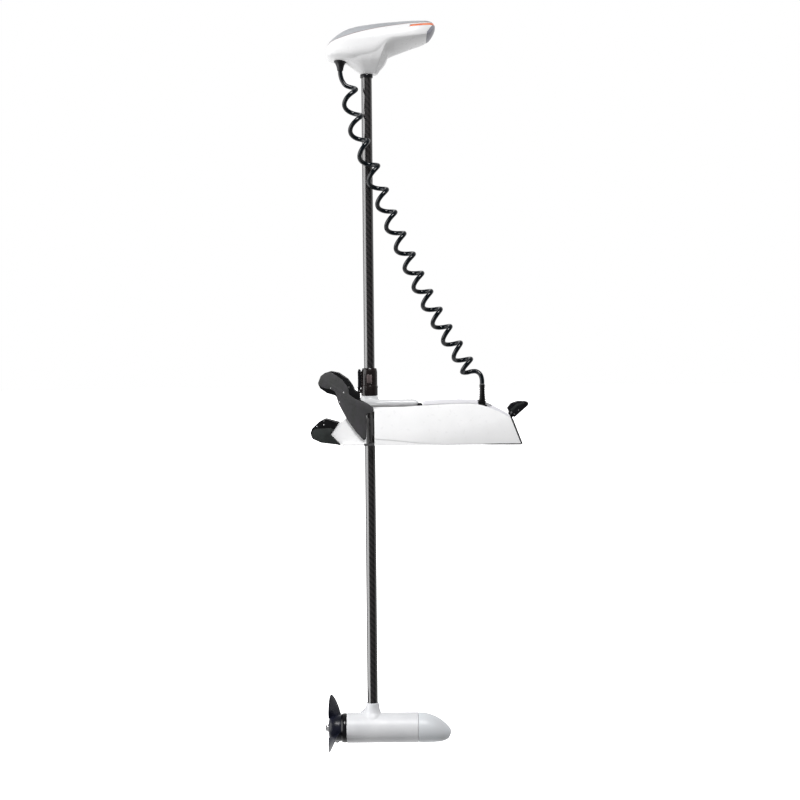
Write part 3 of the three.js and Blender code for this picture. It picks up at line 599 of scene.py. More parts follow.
def cord_points():
    line = smooth_line(COIL_LINE, 12)

    def middle(z):
        for a, b in zip(line, line[1:]):
            if a[2] >= z >= b[2]:
                t = (a[2] - z) / max(a[2] - b[2], 1e-9)
                slope = Vector((b[0] - a[0], 0, b[2] - a[2])).normalized()
                return Vector(a).lerp(Vector(b), t), Vector((-slope.z, 0, slope.x))
        raise ValueError("the coil's middle line doesn't reach this height")

    front = Vector((0, -math.cos(RING_TILT), math.sin(RING_TILT)))
    points = []
    steps = round((LAST_TURN - FIRST_TURN) * TURN_STEPS)
    for i in range(steps + 1):
        n = FIRST_TURN + (LAST_TURN - FIRST_TURN) * i / steps
        sag = SAG * math.sin(math.pi * min(max(n, 0), SAG_TURNS) / SAG_TURNS)
        centre, right = middle(TURN_0_Z - TURN_FALL * n + TURN_EASE * n * n - sag)
        angle = 2 * math.pi * n
        points.append(centre + COIL_RADIUS * (math.cos(angle) * right + math.sin(angle) * front))
    lead = smooth_line([Vector(p) for p in CORD_LEAD] + [points[0], points[3]], 8)[:-8]
    tail = smooth_line([points[-4], points[-1]] + [Vector(p) for p in CORD_EXIT], 8)[8:]
    return lead + [tuple(p) for p in points[1:]] + tail[1:]


def make_cords():
    points = cord_points()

    def first_below(z):
        return next(i for i, p in enumerate(points) if p[2] < z)

    upper_end, middle_end = first_below(UPPER_END_Z), first_below(MIDDLE_END_Z)
    pieces = [
        ("curly_cord_upper", points[:upper_end + 1], ["cord_tail_upper", "coil_cord_upper"],
         ("shaft", "hub"), ((-75, -20, 1075), (-75, -20, 760))),
        ("curly_cord_middle", points[upper_end:middle_end + 1], ["coil_cord_middle"],
         ("hub", "steering_unit"), ((30, -50, 755), (30, -50, 565))),
        ("curly_cord_lower", points[middle_end:], ["coil_cord_lower", "cord_tail_lower"],
         ("steering_unit", "base"), ((104, -48, 560), (300, -30, 205))),
    ]
    for name, path, nodes, bodies, (start, end) in pieces:
        cord = tube(name, path, CORD_R)
        finished(cord, None, "cord", nodes, 60)
        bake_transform(cord)


# ---- control head ----
# [x, top, chine, bottom, half width] from the tail to the nose.
HEAD = [
    (-118, 1136, 1130, 1124, 24), (-112, 1152, 1133, 1116, 42), (-99, 1170, 1139, 1111, 56),
    (-65, 1194, 1147, 1105, 70), (-33, 1205, 1151, 1104, 77), (18, 1213, 1157, 1107, 80),
    (69, 1218, 1165, 1122, 78), (121, 1222, 1171, 1141, 70), (161, 1223.5, 1177, 1155, 59),
    (180, 1223, 1181, 1166, 49), (192, 1218, 1192, 1182, 38), (199, 1208, 1203, 1198, 20),
]
SEAM = [
    (-130, 1136), (-99, 1158), (-59, 1171), (-7, 1184.5), (43, 1194.5), (95, 1203), (147, 1211),
    (215, 1218),
]
# The neck fairing, from the shaft up into the hull: [z, left, ridge x, tip x, half width].
FAIRING = [
    (1072, -17, 26, 31, 20), (1084, -32, 30, 39, 36), (1096, -49, 36, 49, 51),
    (1108, -66, 41, 56, 63), (1122, -86, 47, 62, 71), (1140, -98, 54, 68, 77),
    (1163, -100, 66, 76, 80),
]
HEAD_POWER = 2.6
HEAD_WALL = 3.5
HEAD_MIDDLE_X, HEAD_REACH = 40, 150
HEAD_GAP = 0.6
SEAM_HALF = 1.2
CLEAR_Y = 100
NOSE_CAP = [
    (199, 1214), (189, 1202), (176, 1184), (173, 1160), (173, 1100), (230, 1100), (230, 1214),
]
STRIP = [
    (124, 1197), (130, 1203), (150, 1206), (180, 1211), (215, 1216), (215, 1209), (180, 1205),
]
STRIP_SIGNS = (0, 1, 1, 1, 1, -1, -1)
GLAND_FOOT = (GLAND[0], GLAND[1], 0)


def superellipse(t, power_top, power_bottom, half, top, middle, bottom):
    c, s = math.cos(t), math.sin(t)
    power = power_top if s > 0 else power_bottom
    y = half * math.copysign(abs(c) ** (2 / power), c)
    tall = top - middle if s > 0 else middle - bottom
    return y, middle + tall * math.copysign(abs(s) ** (2 / power), s)


def head_hull(name, inset, sides=96):
    """The hull, or its inside: full below at the tail, and keel-shaped below towards the nose."""
    rings = []
    for x, top, chine, bottom, half in smooth_line(HEAD, 5):
        nose = min(1, max(0, (x - 20) / 60))
        lower = 3.2 - 1.8 * nose * nose * (3 - 2 * nose)
        where = HEAD_MIDDLE_X + (x - HEAD_MIDDLE_X) * (1 - inset / HEAD_REACH)
        ring = []
        for i in range(sides):
            y, z = superellipse(2 * math.pi * i / sides, HEAD_POWER, lower, half - inset,
                                top - inset, chine, bottom + inset)
            ring.append((where, y, z))
        rings.append(ring)
    return loft(name, rings)


def head_fairing():
    rings = []
    for z, left, ridge, tip, half in smooth_line(FAIRING, 4):
        front = [(tip, 0), (tip, -0.3 * half), (ridge, -0.96 * half), (0.4 * ridge, -half)]
        arc = [(left * math.sin(t), -half * math.cos(t))
               for t in (math.pi / 2 * i / 8 for i in range(1, 9))]
        lower = front + arc
        ring = lower + [(x, -y) for x, y in reversed(lower[1:-1])]
        rings.append([(x, y, z) for x, y in ring])
    return loft("fairing", rings)


def above_seam(lift):
    edge = [(x, z + lift) for x, z in SEAM]
    return plate("above_seam", smooth_line(edge, 5) + [(215, 1300), (-130, 1300)],
                 -CLEAR_Y, CLEAR_Y)


def make_head():
    outer = moulded(union(head_hull("outer", 0), head_fairing()), 1.5, 11)

    def hollow(inset=HEAD_WALL):
        return head_hull("hollow", inset, 48)

    def nose(shift):
        return plate("nose", [(x + shift, z) for x, z in NOSE_CAP], -CLEAR_Y, CLEAR_Y)

    def strip(grow):
        outline = [(x - 2 * grow, z + grow * k) for (x, z), k in zip(STRIP, STRIP_SIGNS)]
        return plate("strip", outline, -CLEAR_Y, CLEAR_Y)

    def piece(mesh, colour, nodes):
        finished(mesh, "shaft", colour, nodes, 40)

    piece(cut(copy_of(outer, "head_shell_moulding"), hollow(), above_seam(-HEAD_GAP),
              nose(-HEAD_GAP), strip(HEAD_GAP), rod(SHAFT_R + 0.4, 1060, 1125),
              rod(18.3, 1080, 1108.8, centre=GLAND_FOOT), rod(9.3, 1080, 1125, centre=GLAND_FOOT)),
          "white", ["head_shell"])
    piece(cut(meet(copy_of(outer, "head_top_cover"), above_seam(HEAD_GAP)), hollow()),
          "silver", ["head_cover"])
    piece(cut(meet(copy_of(outer, "head_nose_piece"), nose(0)), hollow(), above_seam(-HEAD_GAP),
              strip(HEAD_GAP)),
          "nose_grey", ["head_nose_cap"])
    piece(cut(meet(copy_of(outer, "head_indicator_strip"), strip(0)), hollow(1.5),
              above_seam(-HEAD_GAP)),
          "orange", ["indicator_strip"])
    edge = plate("edge", [(x, z + SEAM_HALF) for x, z in SEAM]
                 + [(x, z - SEAM_HALF) for x, z in reversed(SEAM)], -CLEAR_Y, CLEAR_Y)
    piece(cut(meet(head_hull("head_seam_gasket", 0.2), edge), hollow(2.4)),
          "gasket", ())
    bpy.data.objects.remove(outer)

    gland = lathe("cord_gland_boot", [
        (0, 1080), (7.6, 1080), (8.6, 1081), (9.6, 1088), (11.6, 1095), (14, 1100.5),
        (16.2, 1103.5), (18, 1105.4), (18, 1108.5), (9, 1108.5), (9, 1112), (0, 1112),
    ], centre=GLAND_FOOT)
    finished(gland, "shaft", "rubber", ["cord_gland"])
    ferrule = lathe("shaft_top_ferrule", [
        (15.8, 1062), (17.2, 1062), (18.1, 1062.8), (18.4, 1064), (18.4, 1070.6), (17.8, 1071.7),
        (15.8, 1071.7),
    ], sides=96)
    finished(ferrule, "shaft", "black", ["shaft_ferrule"])


# ---- shaft and submersible motor ----
MOTOR_Z = -821
MOTOR_CENTRE = (0, 0, MOTOR_Z)


def make_shaft():
    tube_body = lathe("carbon_shaft_tube", [
        (12.5, -775.5), (15.0, -775.5), (15.5, -775), (15.5, 1107.5), (15, 1108), (12.5, 1108),
    ], sides=96)
    finished(tube_body, "shaft", "carbon", ["shaft_tube"])


# [x, top, bottom, half width]
NOSE = [
    (133.4, -777.5, -864.5, 43.5), (158, -780.5, -864.5, 42.5), (182, -789, -864, 38.5),
    (200, -799.5, -862, 32), (213, -811, -858, 24), (222, -820, -851, 15), (227, -828, -840, 6),
]


def make_motor():
    body = rod(43.5, -75, 133, "x", MOTOR_CENTRE, 96, "motor_case")
    neck = [(33, -792), (29.5, -784), (24.5, -777), (21, -766), (19.6, -756), (18.6, -748)]
    socket = lathe("socket", [(0, -805), (33, -805)] + smooth_line(neck, 4) + [(0, -748)])
    gusset = plate("gusset", [(-8, -750), (-14, -756), (-38, -777), (-52, -790), (0, -795)], -6, 6)
    moulded(union(body, socket, gusset), 1.5, 5)
    cut(body, rod(40, -85, 140, "x", MOTOR_CENTRE, 96), rod(15.8, -776, -740), rod(8, -795, -770),
        block("rear", -90, -75, -60, 60, -880, -740), block("front", 133, 150, -60, 60, -880, -740),
        lathe("groove", [(43.1, 24.4), (46, 24.4), (46, 25.6), (43.1, 25.6)], "x", MOTOR_CENTRE, 96))
    finished(body, "shaft", "motor", ["motor_housing"], 40)

    rings = []
    for x, top, bottom, half in smooth_line(NOSE, 6):
        middle, tall = (top + bottom) / 2, (top - bottom) / 2
        rings.append([(x, half * math.cos(t), middle + tall * math.sin(t))
                      for t in (2 * math.pi * i / 96 for i in range(96))])
    nose = loft("motor_nose", rings)
    bevelled(nose, 1.2, 3, 40)
    finished(nose, "shaft", "nose", ["nose_cone"], 40)
    bell = lathe("motor_rear_bell", [
        (14.3, -75.3), (39.5, -75.3), (41.8, -76), (42.5, -77), (42.5, -84.5), (41.6, -87),
        (39, -91), (13, -91), (13, -86.3), (14.3, -86.3),
    ], "x", MOTOR_CENTRE, 96)
    finished(bell, "shaft", "black", ["rear_end_bell"])


# [radius, chord, pitch angle, thickness, middle of the chord along x]
BLADE = [
    (33, 46, 0.97, 9, -110), (38, 47, 0.9, 7, -110), (46, 52, 0.72, 5.4, -111.5),
    (58, 56, 0.58, 4.4, -113), (70, 53, 0.5, 3.8, -115), (81, 44, 0.45, 3.2, -117),
    (90, 30, 0.42, 2.6, -119), (95, 17, 0.41, 2.0, -120), (97, 8, 0.4, 1.4, -120.5),
]


def propeller_blade(turn):
    rings = []
    for r, chord, pitch, thick, middle in smooth_line(BLADE, 3):
        ring = []
        for i in range(28):
            t = 2 * math.pi * i / 28
            along, off = chord / 2 * math.cos(t), thick / 2 * math.sin(t)
            x = middle + along * math.sin(pitch) + off * math.cos(pitch)
            angle = turn + (along * math.cos(pitch) - off * math.sin(pitch)) / r
            ring.append((x, r * math.sin(angle), MOTOR_Z + r * math.cos(angle)))
        rings.append(ring)
    return loft("blade", rings)


def make_propeller():
    hub = lathe("propeller_moulding", [
        (0, -128), (20, -128), (28, -127), (33, -124), (36.2, -119.5), (37.6, -114), (38, -107),
        (38, -92.5), (37.4, -91.5), (0, -91.5),
    ], "x", MOTOR_CENTRE, 96)
    union(hub, *[propeller_blade(i * 2 * math.pi / 3) for i in range(3)])
    cut(hub, rod(5.3, -140, -80, "x", MOTOR_CENTRE),
        block("slot", -99.6, -86.5, -14.4, 14.4, MOTOR_Z - 2.4, MOTOR_Z + 2.4))
    finished(hub, "rotor", "prop", ["propeller"], 40)
    nut = [(10 * math.cos(math.pi / 3 * i), MOTOR_Z + 10 * math.sin(math.pi / 3 * i))
           for i in range(6)]
    hexagon = prism("propeller_nut", nut, -136.5, -129.5, lambda y, z, x: (x, y, z))
    union(hexagon, rod(13, -129.8, -128.3, "x", MOTOR_CENTRE, 48))
    bevelled(hexagon, 0.5, 2)
    cut(hexagon, rod(5.3, -140, -80, "x", MOTOR_CENTRE))
    finished(hexagon, "rotor", "bright_steel", ["prop_nut"])


# ---- depth collar ----
CAM_PIN = (-30, 0, 157)
# [height, radius] of the barrel.
COLLAR_PROFILE = [
    (143, 23.6), (143.8, 24.3), (171, 24.3), (172, 23.9), (173, 22.9), (176, 22.8), (178.5, 22.8),
    (180, 22.8), (204, 22.8), (205.5, 22.8), (212, 22.8), (214, 22.6), (218, 21.8), (221, 21.0),
    (223, 20.2),
]
COLLAR_SIDES = 144
# Angles of the grip flutes round the barrel, half the angle that one spans, and its depth.
FLUTES = (0.0, 0.35, -0.35, math.pi, math.pi + 0.35, math.pi - 0.35, math.pi / 2)
FLUTE_HALF, FLUTE_DEPTH = 0.11, 0.9
# The flat in front for the window panel: its distance from the axis, and half its angle.
WINDOW_FLAT, WINDOW_HALF = 21.2, 0.42


def angle_between(a, b):
    return abs((a - b + math.pi) % (2 * math.pi) - math.pi)


def collar_radius(r, z, t):
    depth = 0.0
    if 174 < z < 213:
        for centre in FLUTES:
            depth = max(depth, FLUTE_DEPTH * (1 - (angle_between(t, centre) / FLUTE_HALF) ** 2))
    away = angle_between(t, -math.pi / 2)
    if 179 < z < 206 and away < WINDOW_HALF:
        depth = max(depth, r - WINDOW_FLAT / math.cos(away))
    return r - depth


def make_collar():
    """A clamp collar whose barrel has a flat window panel in front and grip flutes at its sides."""
    rings = []
    for z, r in COLLAR_PROFILE:
        ring = []
        for i in range(COLLAR_SIDES):
            t = 2 * math.pi * i / COLLAR_SIDES
            radius = collar_radius(r, z, t)
            ring.append((radius * math.cos(t), radius * math.sin(t), z))
        rings.append(ring)
    body = loft("depth_collar_body", rings)
    for low, high in ((6.5, 10.5), (-10.5, -6.5)):
        lug = [(-34, 151), (-20, 151), (-20, 163), (-34, 163)]
        union(body, plate("lug", rounded(lug, [4, 0, 0, 4]), low, high))
    jaw = [(-24.3, 168), (-15, 168), (-15, 216), (-22, 216), (-24.3, 212)]
    union(body, plate("jaw", rounded(jaw, [2, 0, 0, 2, 2]), -9, 9))
    cut(body, rod(15.9, 130, 240, sides=96), rod(2.5, -12, 12, "y", CAM_PIN, 24))
    finished(body, "hub", "collar", ["depth_collar"], 32)
    window = [(-7.6, 180.5), (7.6, 180.5), (7.6, 203.5), (-7.6, 203.5)]
    panel = plate("depth_collar_panel", rounded(window, 1.5), -21.9, -20.6)
    bevelled(panel, 0.3, 2)
    finished(panel, "hub", "collar_panel")

    x, _, z = CAM_PIN
    handle = [(-33.5, 166), (-24.6, 166), (-24.6, 217), (-27.5, 221), (-31.5, 220), (-33.6, 213),
              (-33.2, 190)]
    grip = plate("collar_cam_lever", rounded(handle, 2.5), -12, 12)
    bevelled(grip, 1.1, 3)
    eye = rod(4.3, -6, 6, "y", CAM_PIN, 32)
    stem = plate("stem", [(x - 4.3, z), (x + 4.3, z), (x + 4.3, z + 12), (x - 4.8, z + 12)], -6, 6)
    union(grip, eye, stem)
    cut(grip, rod(2.5, -12, 12, "y", CAM_PIN, 24))
    finished(grip, "cam_lever", "black", ["collar_lever"])


# ---- steering unit ----
PIVOT = (76, 0, 96)
HOUSING_REAR = 148
PINION = (35, 0, 0)
# [height, half width, radius round the shaft, rear end]
COVER_LEVELS = [
    (110, 45, 31, 136), (113, 45, 31, 137), (117, 47.5, 31, 140), (121, 50, 31, 142.5),
    (125, 50, 31, 141.5), (128.5, 48, 30, 138), (131, 44, 28.5, 133), (132, 40, 27, 129),
]
# A grey strip under the cover's bulge: painted shade, standing in for the shadow line in the gap
# between the cover and the wall top.
SHADE_STRIP_LEVELS = [
    (111.5, 47.2, 31.6, 138), (112.2, 47.8, 31.6, 138), (115, 48.6, 31.6, 138),
    (115.8, 48.2, 31.6, 138),
]


def footprint(half, nose_r, rear_x=HOUSING_REAR):
    """Seen from above: a round lobe about the shaft that widens smoothly to the body."""
    arc = [(nose_r * math.cos(t), nose_r * math.sin(t))
           for t in (math.pi / 2 + math.pi * i / 16 for i in range(17))]
    flank = smooth_line([(0, nose_r), (16, nose_r + 3.5), (36, half - 4), (54, half)], 4)[1:]
    rear = rounded([(80, -half), (rear_x, -half), (rear_x, half), (80, half)], [0, 12, 12, 0], 6)
    return arc + [(x, -y) for x, y in flank] + rear + flank[::-1]


def stacked(name, levels):
    return loft(name, [[(x, y, z) for x, y in footprint(half, nose, rear)]
                       for z, half, nose, rear in levels])


def make_steering():
    cover = stacked("steering_top_cover", COVER_LEVELS)
    flare = [(29.8, 127), (28.6, 131), (26.4, 134.5), (25.2, 138.5), (24.6, 142.7)]
    ring = lathe("ring", [(0, 118), (29.8, 118)] + smooth_line(flare, 4) + [(0, 142.7)], sides=96)
    moulded(union(cover, ring), 1.3, 7)
    cut(cover, rod(20.3, 100, 150, sides=96), rod(24.3, 100, 127, sides=96),
        rod(27.6, 100, 118.5, sides=96), rod(12.6, 100, 118.5, centre=PINION),
        block("base", -60, 180, -80, 80, 100, 111.3), block("top", -60, 60, -60, 60, 142.4, 150))
    finished(cover, "steering_unit", "cover", ["steering_cover"], 45)
    # The grey strip under the cover stands in for the shadow in the gap: painted shade.
    seal = stacked("steering_cover_shade_strip", SHADE_STRIP_LEVELS)
    cut(seal, flat_plate("inside", footprint(43, 28), 108, 120))
    finished(seal, "steering_unit", "seal")

    case = flat_plate("steering_gear_case", footprint(50, 30), 98, 111)
    belly = [(16, 28), (58, 24), (70, 50), (140, 62), (148, 75), (148, 100), (16, 100)]
    motor = plate("motor", rounded(belly, [4, 6, 10, 8, 4, 0, 0]), -30, 30)
    shoulders = plate("shoulders", [(40, 78), (144, 78), (148, 84), (148, 100), (40, 100)], -50, 50)
    moulded(union(case, motor, shoulders), 1.6, 4)
    cut(case, rod(24.3, 80, 103, sides=96), rod(27.6, 102.7, 115, sides=96),
        rod(12.6, 102.7, 115, centre=PINION), rod(16, 32, 100.8, centre=PINION),
        rod(4.4, 99, 104, centre=PINION), rod(6, 15, 40, centre=PINION),
        rod(8.3, -60, 60, "y", PIVOT), block("lid", -60, 180, -80, 80, 110.9, 120))
    finished(case, "steering_unit", "mount", ["steering_housing"], 40)
    # A black block in the notch behind the steering cover, standing in for the shadow there: painted
    # shade.
    pad = [(136, 112), (149, 104), (153, 106), (152.5, 119), (149, 121), (136, 121)]
    notch_shade_block = plate("steering_rear_notch_shade", rounded(pad, [0, 1, 2, 2, 2, 0]), -44, 44)
    bevelled(notch_shade_block, 0.8, 2)
    finished(notch_shade_block, "steering_unit", "rubber")


# ---- deck mount ----
WALL_Y = 62
SIDES = ((-1, "left"), (1, "right"))
LEVER_PIN = (409, 0, 91)
CABLE_EXIT = (380, 0, 34)
# Outlines in x and z.
WALL_TOP = [
    (404, 78), (370, 95), (334, 110), (306, 116.5), (276, 119), (210, 117.2), (150, 114),
    (85, 110.5), (24, 107),
]
LID_TOP = [
    (153.5, 120.5), (156.5, 126), (170, 128.8), (200, 130.5), (240, 131.4), (276, 131), (318, 128),
    (346, 117.5), (372, 103.5), (396, 90), (404, 81),
]
LID_FOOT = [(404, 78.6), (334, 110.8), (306, 117.2), (276, 119.8), (210, 117.9), (155.5, 115.5)]
LID_INSIDE = [
    (160, 90), (160, 121), (200, 127), (276, 127.5), (316, 124.5), (344, 113.5), (392, 87),
    (392, 60),
]
POCKET = [(307, 106), (307, 128), (318, 127.5), (346, 117), (354, 113), (354, 106)]
EAR = [
    (407, 73), (411.8, 73), (417.5, 88), (416, 95), (411, 98.5), (405, 97.5), (401.5, 92),
    (403, 84), (404.8, 79),
]


def make_mount():
    top = smooth_line(WALL_TOP, 4)
    skin = [(14, 22), (20, 19), (58, 16), (130, 8), (204, 3), (433, 3)] + top
    skin += [(17, 106.5), (14, 103)]
    inner = [(14, 0), (432, 0), (433, 3)] + top + [(14, 104)]
    arm = rounded([(-110.8, 33.4), (-87.4, 67), (-66, 79), (-10, 79), (-10, 2), (-80, 2)],
                  [2, 6, 6, 0, 0, 2])
    channel = block("deck_mount_channel", 24, 432, -59, 59, 0, 6)
    for side in (1, -1):
        outside = plate("skin", skin, *side_span(side, WALL_Y - 2, WALL_Y))
        bevelled(outside, 0.8, 2)
        union(channel,
              plate("wall", inner, *side_span(side, WALL_Y - 4, WALL_Y - 1.5)),
              outside,
              rod(14, *side_span(side, WALL_Y - 11, WALL_Y - 2), "y", PIVOT),
              block("prong", -78, -16, *side_span(side, 38, WALL_Y - 3), 0, 6),
              block("prong", 16, 30, *side_span(side, 38, WALL_Y - 3), 0, 6),
              plate("arm", arm, *side_span(side, 38, 50)),
              block("rail", 196, 300, *side_span(side, 30, 34), 5, 58))
    union(channel, block("guide", 345, 351, -16, 16, 5, 54))
    cut(channel, rod(8.3, -58.7, 58.7, "y", PIVOT),
        block("latch", 340, 356, -4.5, 4.5, 35.5, 44.5), rod(8, 50, 70, "y", CABLE_EXIT),
        *[rod(3.5, -2, 8, centre=(x, y, 0), sides=24) for x in (60, 392) for y in (36, -36)])
    finished(channel, "base", "mount", ["deck_channel"], 30)
    for side, word in SIDES:
        foot = block(f"cradle_foot_{word}", -15.9, 15.9, *side_span(side, 38, WALL_Y - 3), 0.1, 5.9)
        bevelled(foot, 0.6, 2)
        finished(foot, "base", "graphite")
    pad = plate("deck_end_pad", [(322, 3.4), (434, 3.4), (437, 1.4), (434, -0.4), (390, -0.2),
                                 (350, 1.6)], -62.2, 62.2)
    bevelled(pad, 0.4, 2)
    finished(pad, "base", "rubber")

    lid = plate("rear_top_cover", smooth_line(LID_TOP, 4) + LID_FOOT, -WALL_Y, WALL_Y)
    bevelled(lid, 2.2, 4, 50)
    cut(lid, plate("inside", LID_INSIDE, 4 - WALL_Y, WALL_Y - 4))
    union(lid, plate("pocket_lining", POCKET, 0.5 - WALL_Y, -11))
    cut(lid, block("pocket", 310, 350.5, -WALL_Y - 1, -14, 108.5, 140),
        rod(8.4, 90, 112, centre=(RELIEF[0], RELIEF[1], 0)))
    finished(lid, "base", "lilac", ["rear_cover"], 30)

    end = plate("end_cap_plate", [(433.4, 2), (404.6, 75), (411, 75), (438.8, 2)],
                1 - WALL_Y, WALL_Y - 1)
    bevelled(end, 0.8, 2)
    union(end, plate("ear", rounded(EAR, [0, 0, 4, 4, 4, 4, 4, 4, 0]), -8, 8))
    cut(end, rod(3.3, -20, 20, "y", LEVER_PIN, 24),
        plate("seat", [(380, 60), (404.6, 78.2), (404.6, 82), (380, 100)], -100, 100))
    finished(end, "base", "graphite", ["end_cap"])


# ---- cradle ----
ARM_CORE = [
    (-147, 180), (-139, 201), (-127, 210), (-107, 216), (-89, 212), (-63, 194), (-50, 176),
    (-43, 161), (-28, 151), (-28, 134), (-7, 123), (12, 109), (12, 98), (-8, 91), (-10, 7),
    (-41, 43), (-66, 79), (-88, 121), (-95, 144), (-104, 147), (-121, 152), (-140, 165),
]
ARM_FACE = [
    (-146, 180), (-138, 200), (-126, 209), (-110, 213), (-97, 205), (-76, 190), (-60, 168),
    (-57, 147), (-38, 134), (-9, 123), (11, 108.5), (11, 99), (-9, 91.5), (-11, 11), (-40, 45),
    (-65, 80), (-87, 122), (-94, 146), (-99, 158), (-111, 163), (-126, 166), (-139, 171),
]
HORN_CORE = [
    (-170, 38), (-165, 51), (-144, 71), (-129, 79), (-88, 67.5), (-111.5, 33.4), (-81, 0.5),
    (-92, 4), (-139, 10), (-165, 22),
]
HORN_FACE = [
    (-168, 36), (-158, 50), (-112, 52), (-104, 49), (-112.8, 34), (-86, 4), (-92, 5),
    (-139, 11.5), (-164, 23),
]
# [x, z, radius]
ARM_SCREWS = [(-104, 207, 1.6), (-110, 167, 1.6), (-72, 154, 2.0), (-58, 169, 1.6), (-84, 127, 2.2)]
HORN_SCREWS = [(-130, 73, 1.6), (-130, 62, 2.0), (-150, 57, 2.2), (-148, 44, 1.6)]
SCREW_TALL = 0.8


def screws(name, places, surface, side, body):
    """Pan-head screws standing on a side face."""
    foot, top = side * (surface - 0.5), side * (surface + SCREW_TALL)
    heads = [lathe("screw", [(0, foot), (r, foot), (r, foot + side * SCREW_TALL), (r * 0.7, top),
                             (0, top)], "y", (x, 0, z), 20) for x, z, r in places]
    union(*heads)
    heads[0].name = name
    finished(heads[0], body, "bright_steel")


# [part, layer, outline, corner radii, steps, near and far, bevel, material, slot]
CRADLE = [
    ("arm", "core", ARM_CORE, 9, 4, (50.3, 58.5), (2.0, 3), "arm_gloss", "graphite_cradle"),
    ("arm", "face", ARM_FACE, 8, 4, (58, 61), (0.9, 2), "graphite", "graphite_cradle"),
    ("horn", "core", HORN_CORE, [8, 10, 10, 9, 3, 1, 1, 4, 14, 12], 5, (38, 54), (2.6, 4),
     "arm_gloss", "black_plastic"),
    ("horn", "face", HORN_FACE, [8, 8, 4, 2, 1, 1, 2, 14, 12], 4, (53.5, 56), (0.8, 2),
     "horn_grey", "black_plastic"),
]


def make_cradle():
    for side, word in SIDES:
        for part, layer, outline, radii, steps, reach, bevel, material, slot in CRADLE:
            node = f"cradle_{part}_{word}"
            body = plate(f"{node}_{layer}", rounded(outline, radii, steps), *side_span(side, *reach))
            bevelled(body, *bevel, 45)
            finished(body, "base", material, [node] if layer == "core" else ())
        screws(f"cradle_arm_{word}_screws", ARM_SCREWS, 61, side, "base")
        screws(f"cradle_horn_{word}_screws", HORN_SCREWS, 54, side, "base")


# ---- release lever and latch spring ----
PEDAL = [
    (397.5, 104.5), (409, 118.5), (430, 125), (452, 124), (459, 119), (458, 111.5), (419, 77.5),
    (410.5, 80.5),
]
PEDAL_RECESS = [(404, 106), (411, 114), (419, 111), (411, 102)]
PEDAL_RIB = [(405, 98), (424, 116), (448, 121), (446, 115), (428, 110), (411, 94)]
PEDAL_SCREWS = [(418, 86, 1.7), (430, 98, 1.7)]
PEDAL_HALF = 20


def make_release():
    lever = plate("release_pedal", rounded(PEDAL, [3, 5, 8, 6, 4, 4, 3, 3]),
                  -PEDAL_HALF, PEDAL_HALF)
    bevelled(lever, 2.2, 3, 45)
    room = union(rod(12, -8.6, 8.6, "y", LEVER_PIN), block("room", 386, 421, -8.6, 8.6, 60, 90.7))
    cut(lever, room, rod(3.3, -22, 22, "y", LEVER_PIN, 24))
    cut(lever, *[plate("recess", rounded(PEDAL_RECESS, 2), *side_span(side, 18.6, 22))
                 for side in (1, -1)])
    finished(lever, "lever", "black", ["release_lever"], 30)
    for side, word in SIDES:
        rib = plate(f"release_pedal_rib_{word}", rounded(PEDAL_RIB, 2), *side_span(side, 19.5, 20.8))
        bevelled(rib, 0.4, 2)
        finished(rib, "lever", "horn_grey")
        screws(f"release_pedal_screws_{word}", PEDAL_SCREWS, PEDAL_HALF, side, "lever")


def make_latch_spring():
    """The coil spring behind the latch bar's flange, drawn at one length, though the real one
    shortens as the bar moves.
    """
    turns, coil_r, wire_r, low_x, high_x, centre_z = 5, 9, 1.1, 300.6, 343.4, 40
    steps = turns * 24
    path = []
    for i in range(steps + 1):
        angle = 2 * math.pi * turns * (i / steps)
        path.append((low_x + (high_x - low_x) * (i / steps), coil_r * math.cos(angle),
                     centre_z + coil_r * math.sin(angle)))
    spring = tube("latch_return_spring", path, wire_r, 10)
    finished(spring, "base", "steel", ["latch_spring"])
    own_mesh(spring)


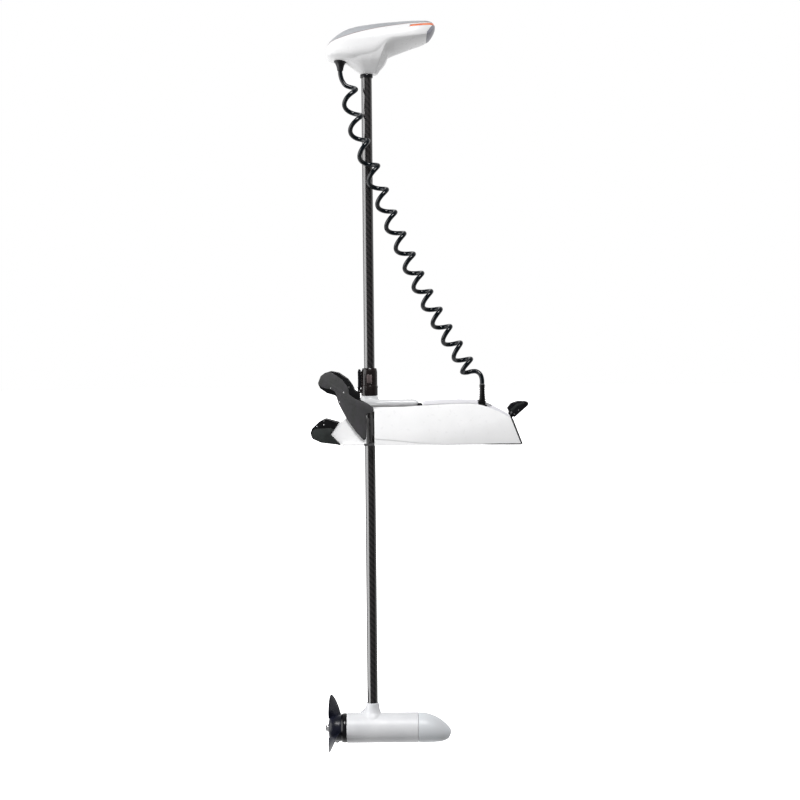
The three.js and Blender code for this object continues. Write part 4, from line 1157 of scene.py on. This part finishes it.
# ---- strain relief and cable gland ----
def make_fittings():
    x, y, high = RELIEF
    low, rings, top = 111.5, 11, high - 0.3
    profile = [(0, low - 8), (8, low - 8), (8, low - 3), (12.6, low - 3), (13.2, low - 2),
               (13.2, low + 2.2), (12.4, low + 3.4)]
    span = (top - 4 - (low + 4)) / rings
    for i in range(rings):
        base = low + 4 + i * span
        r = 12.8 - 4.2 * (i / rings)
        root = max(r - 3.4, 7.0)
        profile += [(root, base), (root, base + 0.42 * span), (r, base + 0.52 * span),
                    (r, base + 0.86 * span), (root, base + 0.98 * span)]
    profile += [(7.6, top - 3.4), (7.4, top), (0, top)]
    relief = lathe("cord_strain_relief", profile, centre=(x, y, 0), sides=40)
    finished(relief, "base", "rubber", ["strain_relief"], 25)
    foot = [(338, 108), (338, 117.5), (343, 119), (348.5, 115), (348.5, 108)]
    boot = plate("strain_relief_foot", rounded(foot, 1.5), y - 12, y + 6)
    bevelled(boot, 1.0, 3)
    finished(boot, "base", "boot_grey")
    gland = lathe("power_cable_gland", [
        (0, 56), (7.6, 56), (7.6, 62.4), (12.4, 62.4), (13, 63), (13, 67.4), (12.2, 68), (9, 70),
        (8.3, 76), (8, 82), (0, 82),
    ], "y", CABLE_EXIT, 40)
    finished(gland, "base", "rubber", ["power_gland"])


# ---- materials of the CAD parts that stay ----
CAD_FINISH = {
    "board": ["head_circuit_board", "control_board"],
    "ferrite": ["gps_antenna", "magnet_upper", "magnet_lower", "brush_plate"],
    "rubber": ["motor_leads", "shaft_seal"],
    "cast": ["front_end_bell"],
    "steel": ["rear_bearing", "front_bearing", "through_bolt_left", "through_bolt_right", "armature",
              "motor_shaft", "prop_drive_pin", "steering_motor", "steering_gearbox",
              "steering_pinion", "hub_sleeve", "collar_lever_pin", "tilt_pin", "release_lever_pin",
              "latch_bar"],
    "brass": ["steering_gear", "lower_bush", "upper_bush"],
    "copper": ["commutator"],
}


def paint_cad_parts():
    for finish, names in CAD_FINISH.items():
        for name in names:
            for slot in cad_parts[name].material_slots:
                slot.material = MATERIALS[finish]


# ---- the scene ----
set_camera()
MATERIALS = make_materials()
make_cords()
set_world()
for light_values in LIGHTS:
    area_light(*light_values)
set_floor()
make_head()
make_shaft()
make_motor()
make_propeller()
make_collar()
make_steering()
make_mount()
make_cradle()
make_release()
make_latch_spring()
make_fittings()
paint_cad_parts()
SCENE.view_settings.view_transform = "Standard"
SCENE.view_settings.look = "None"
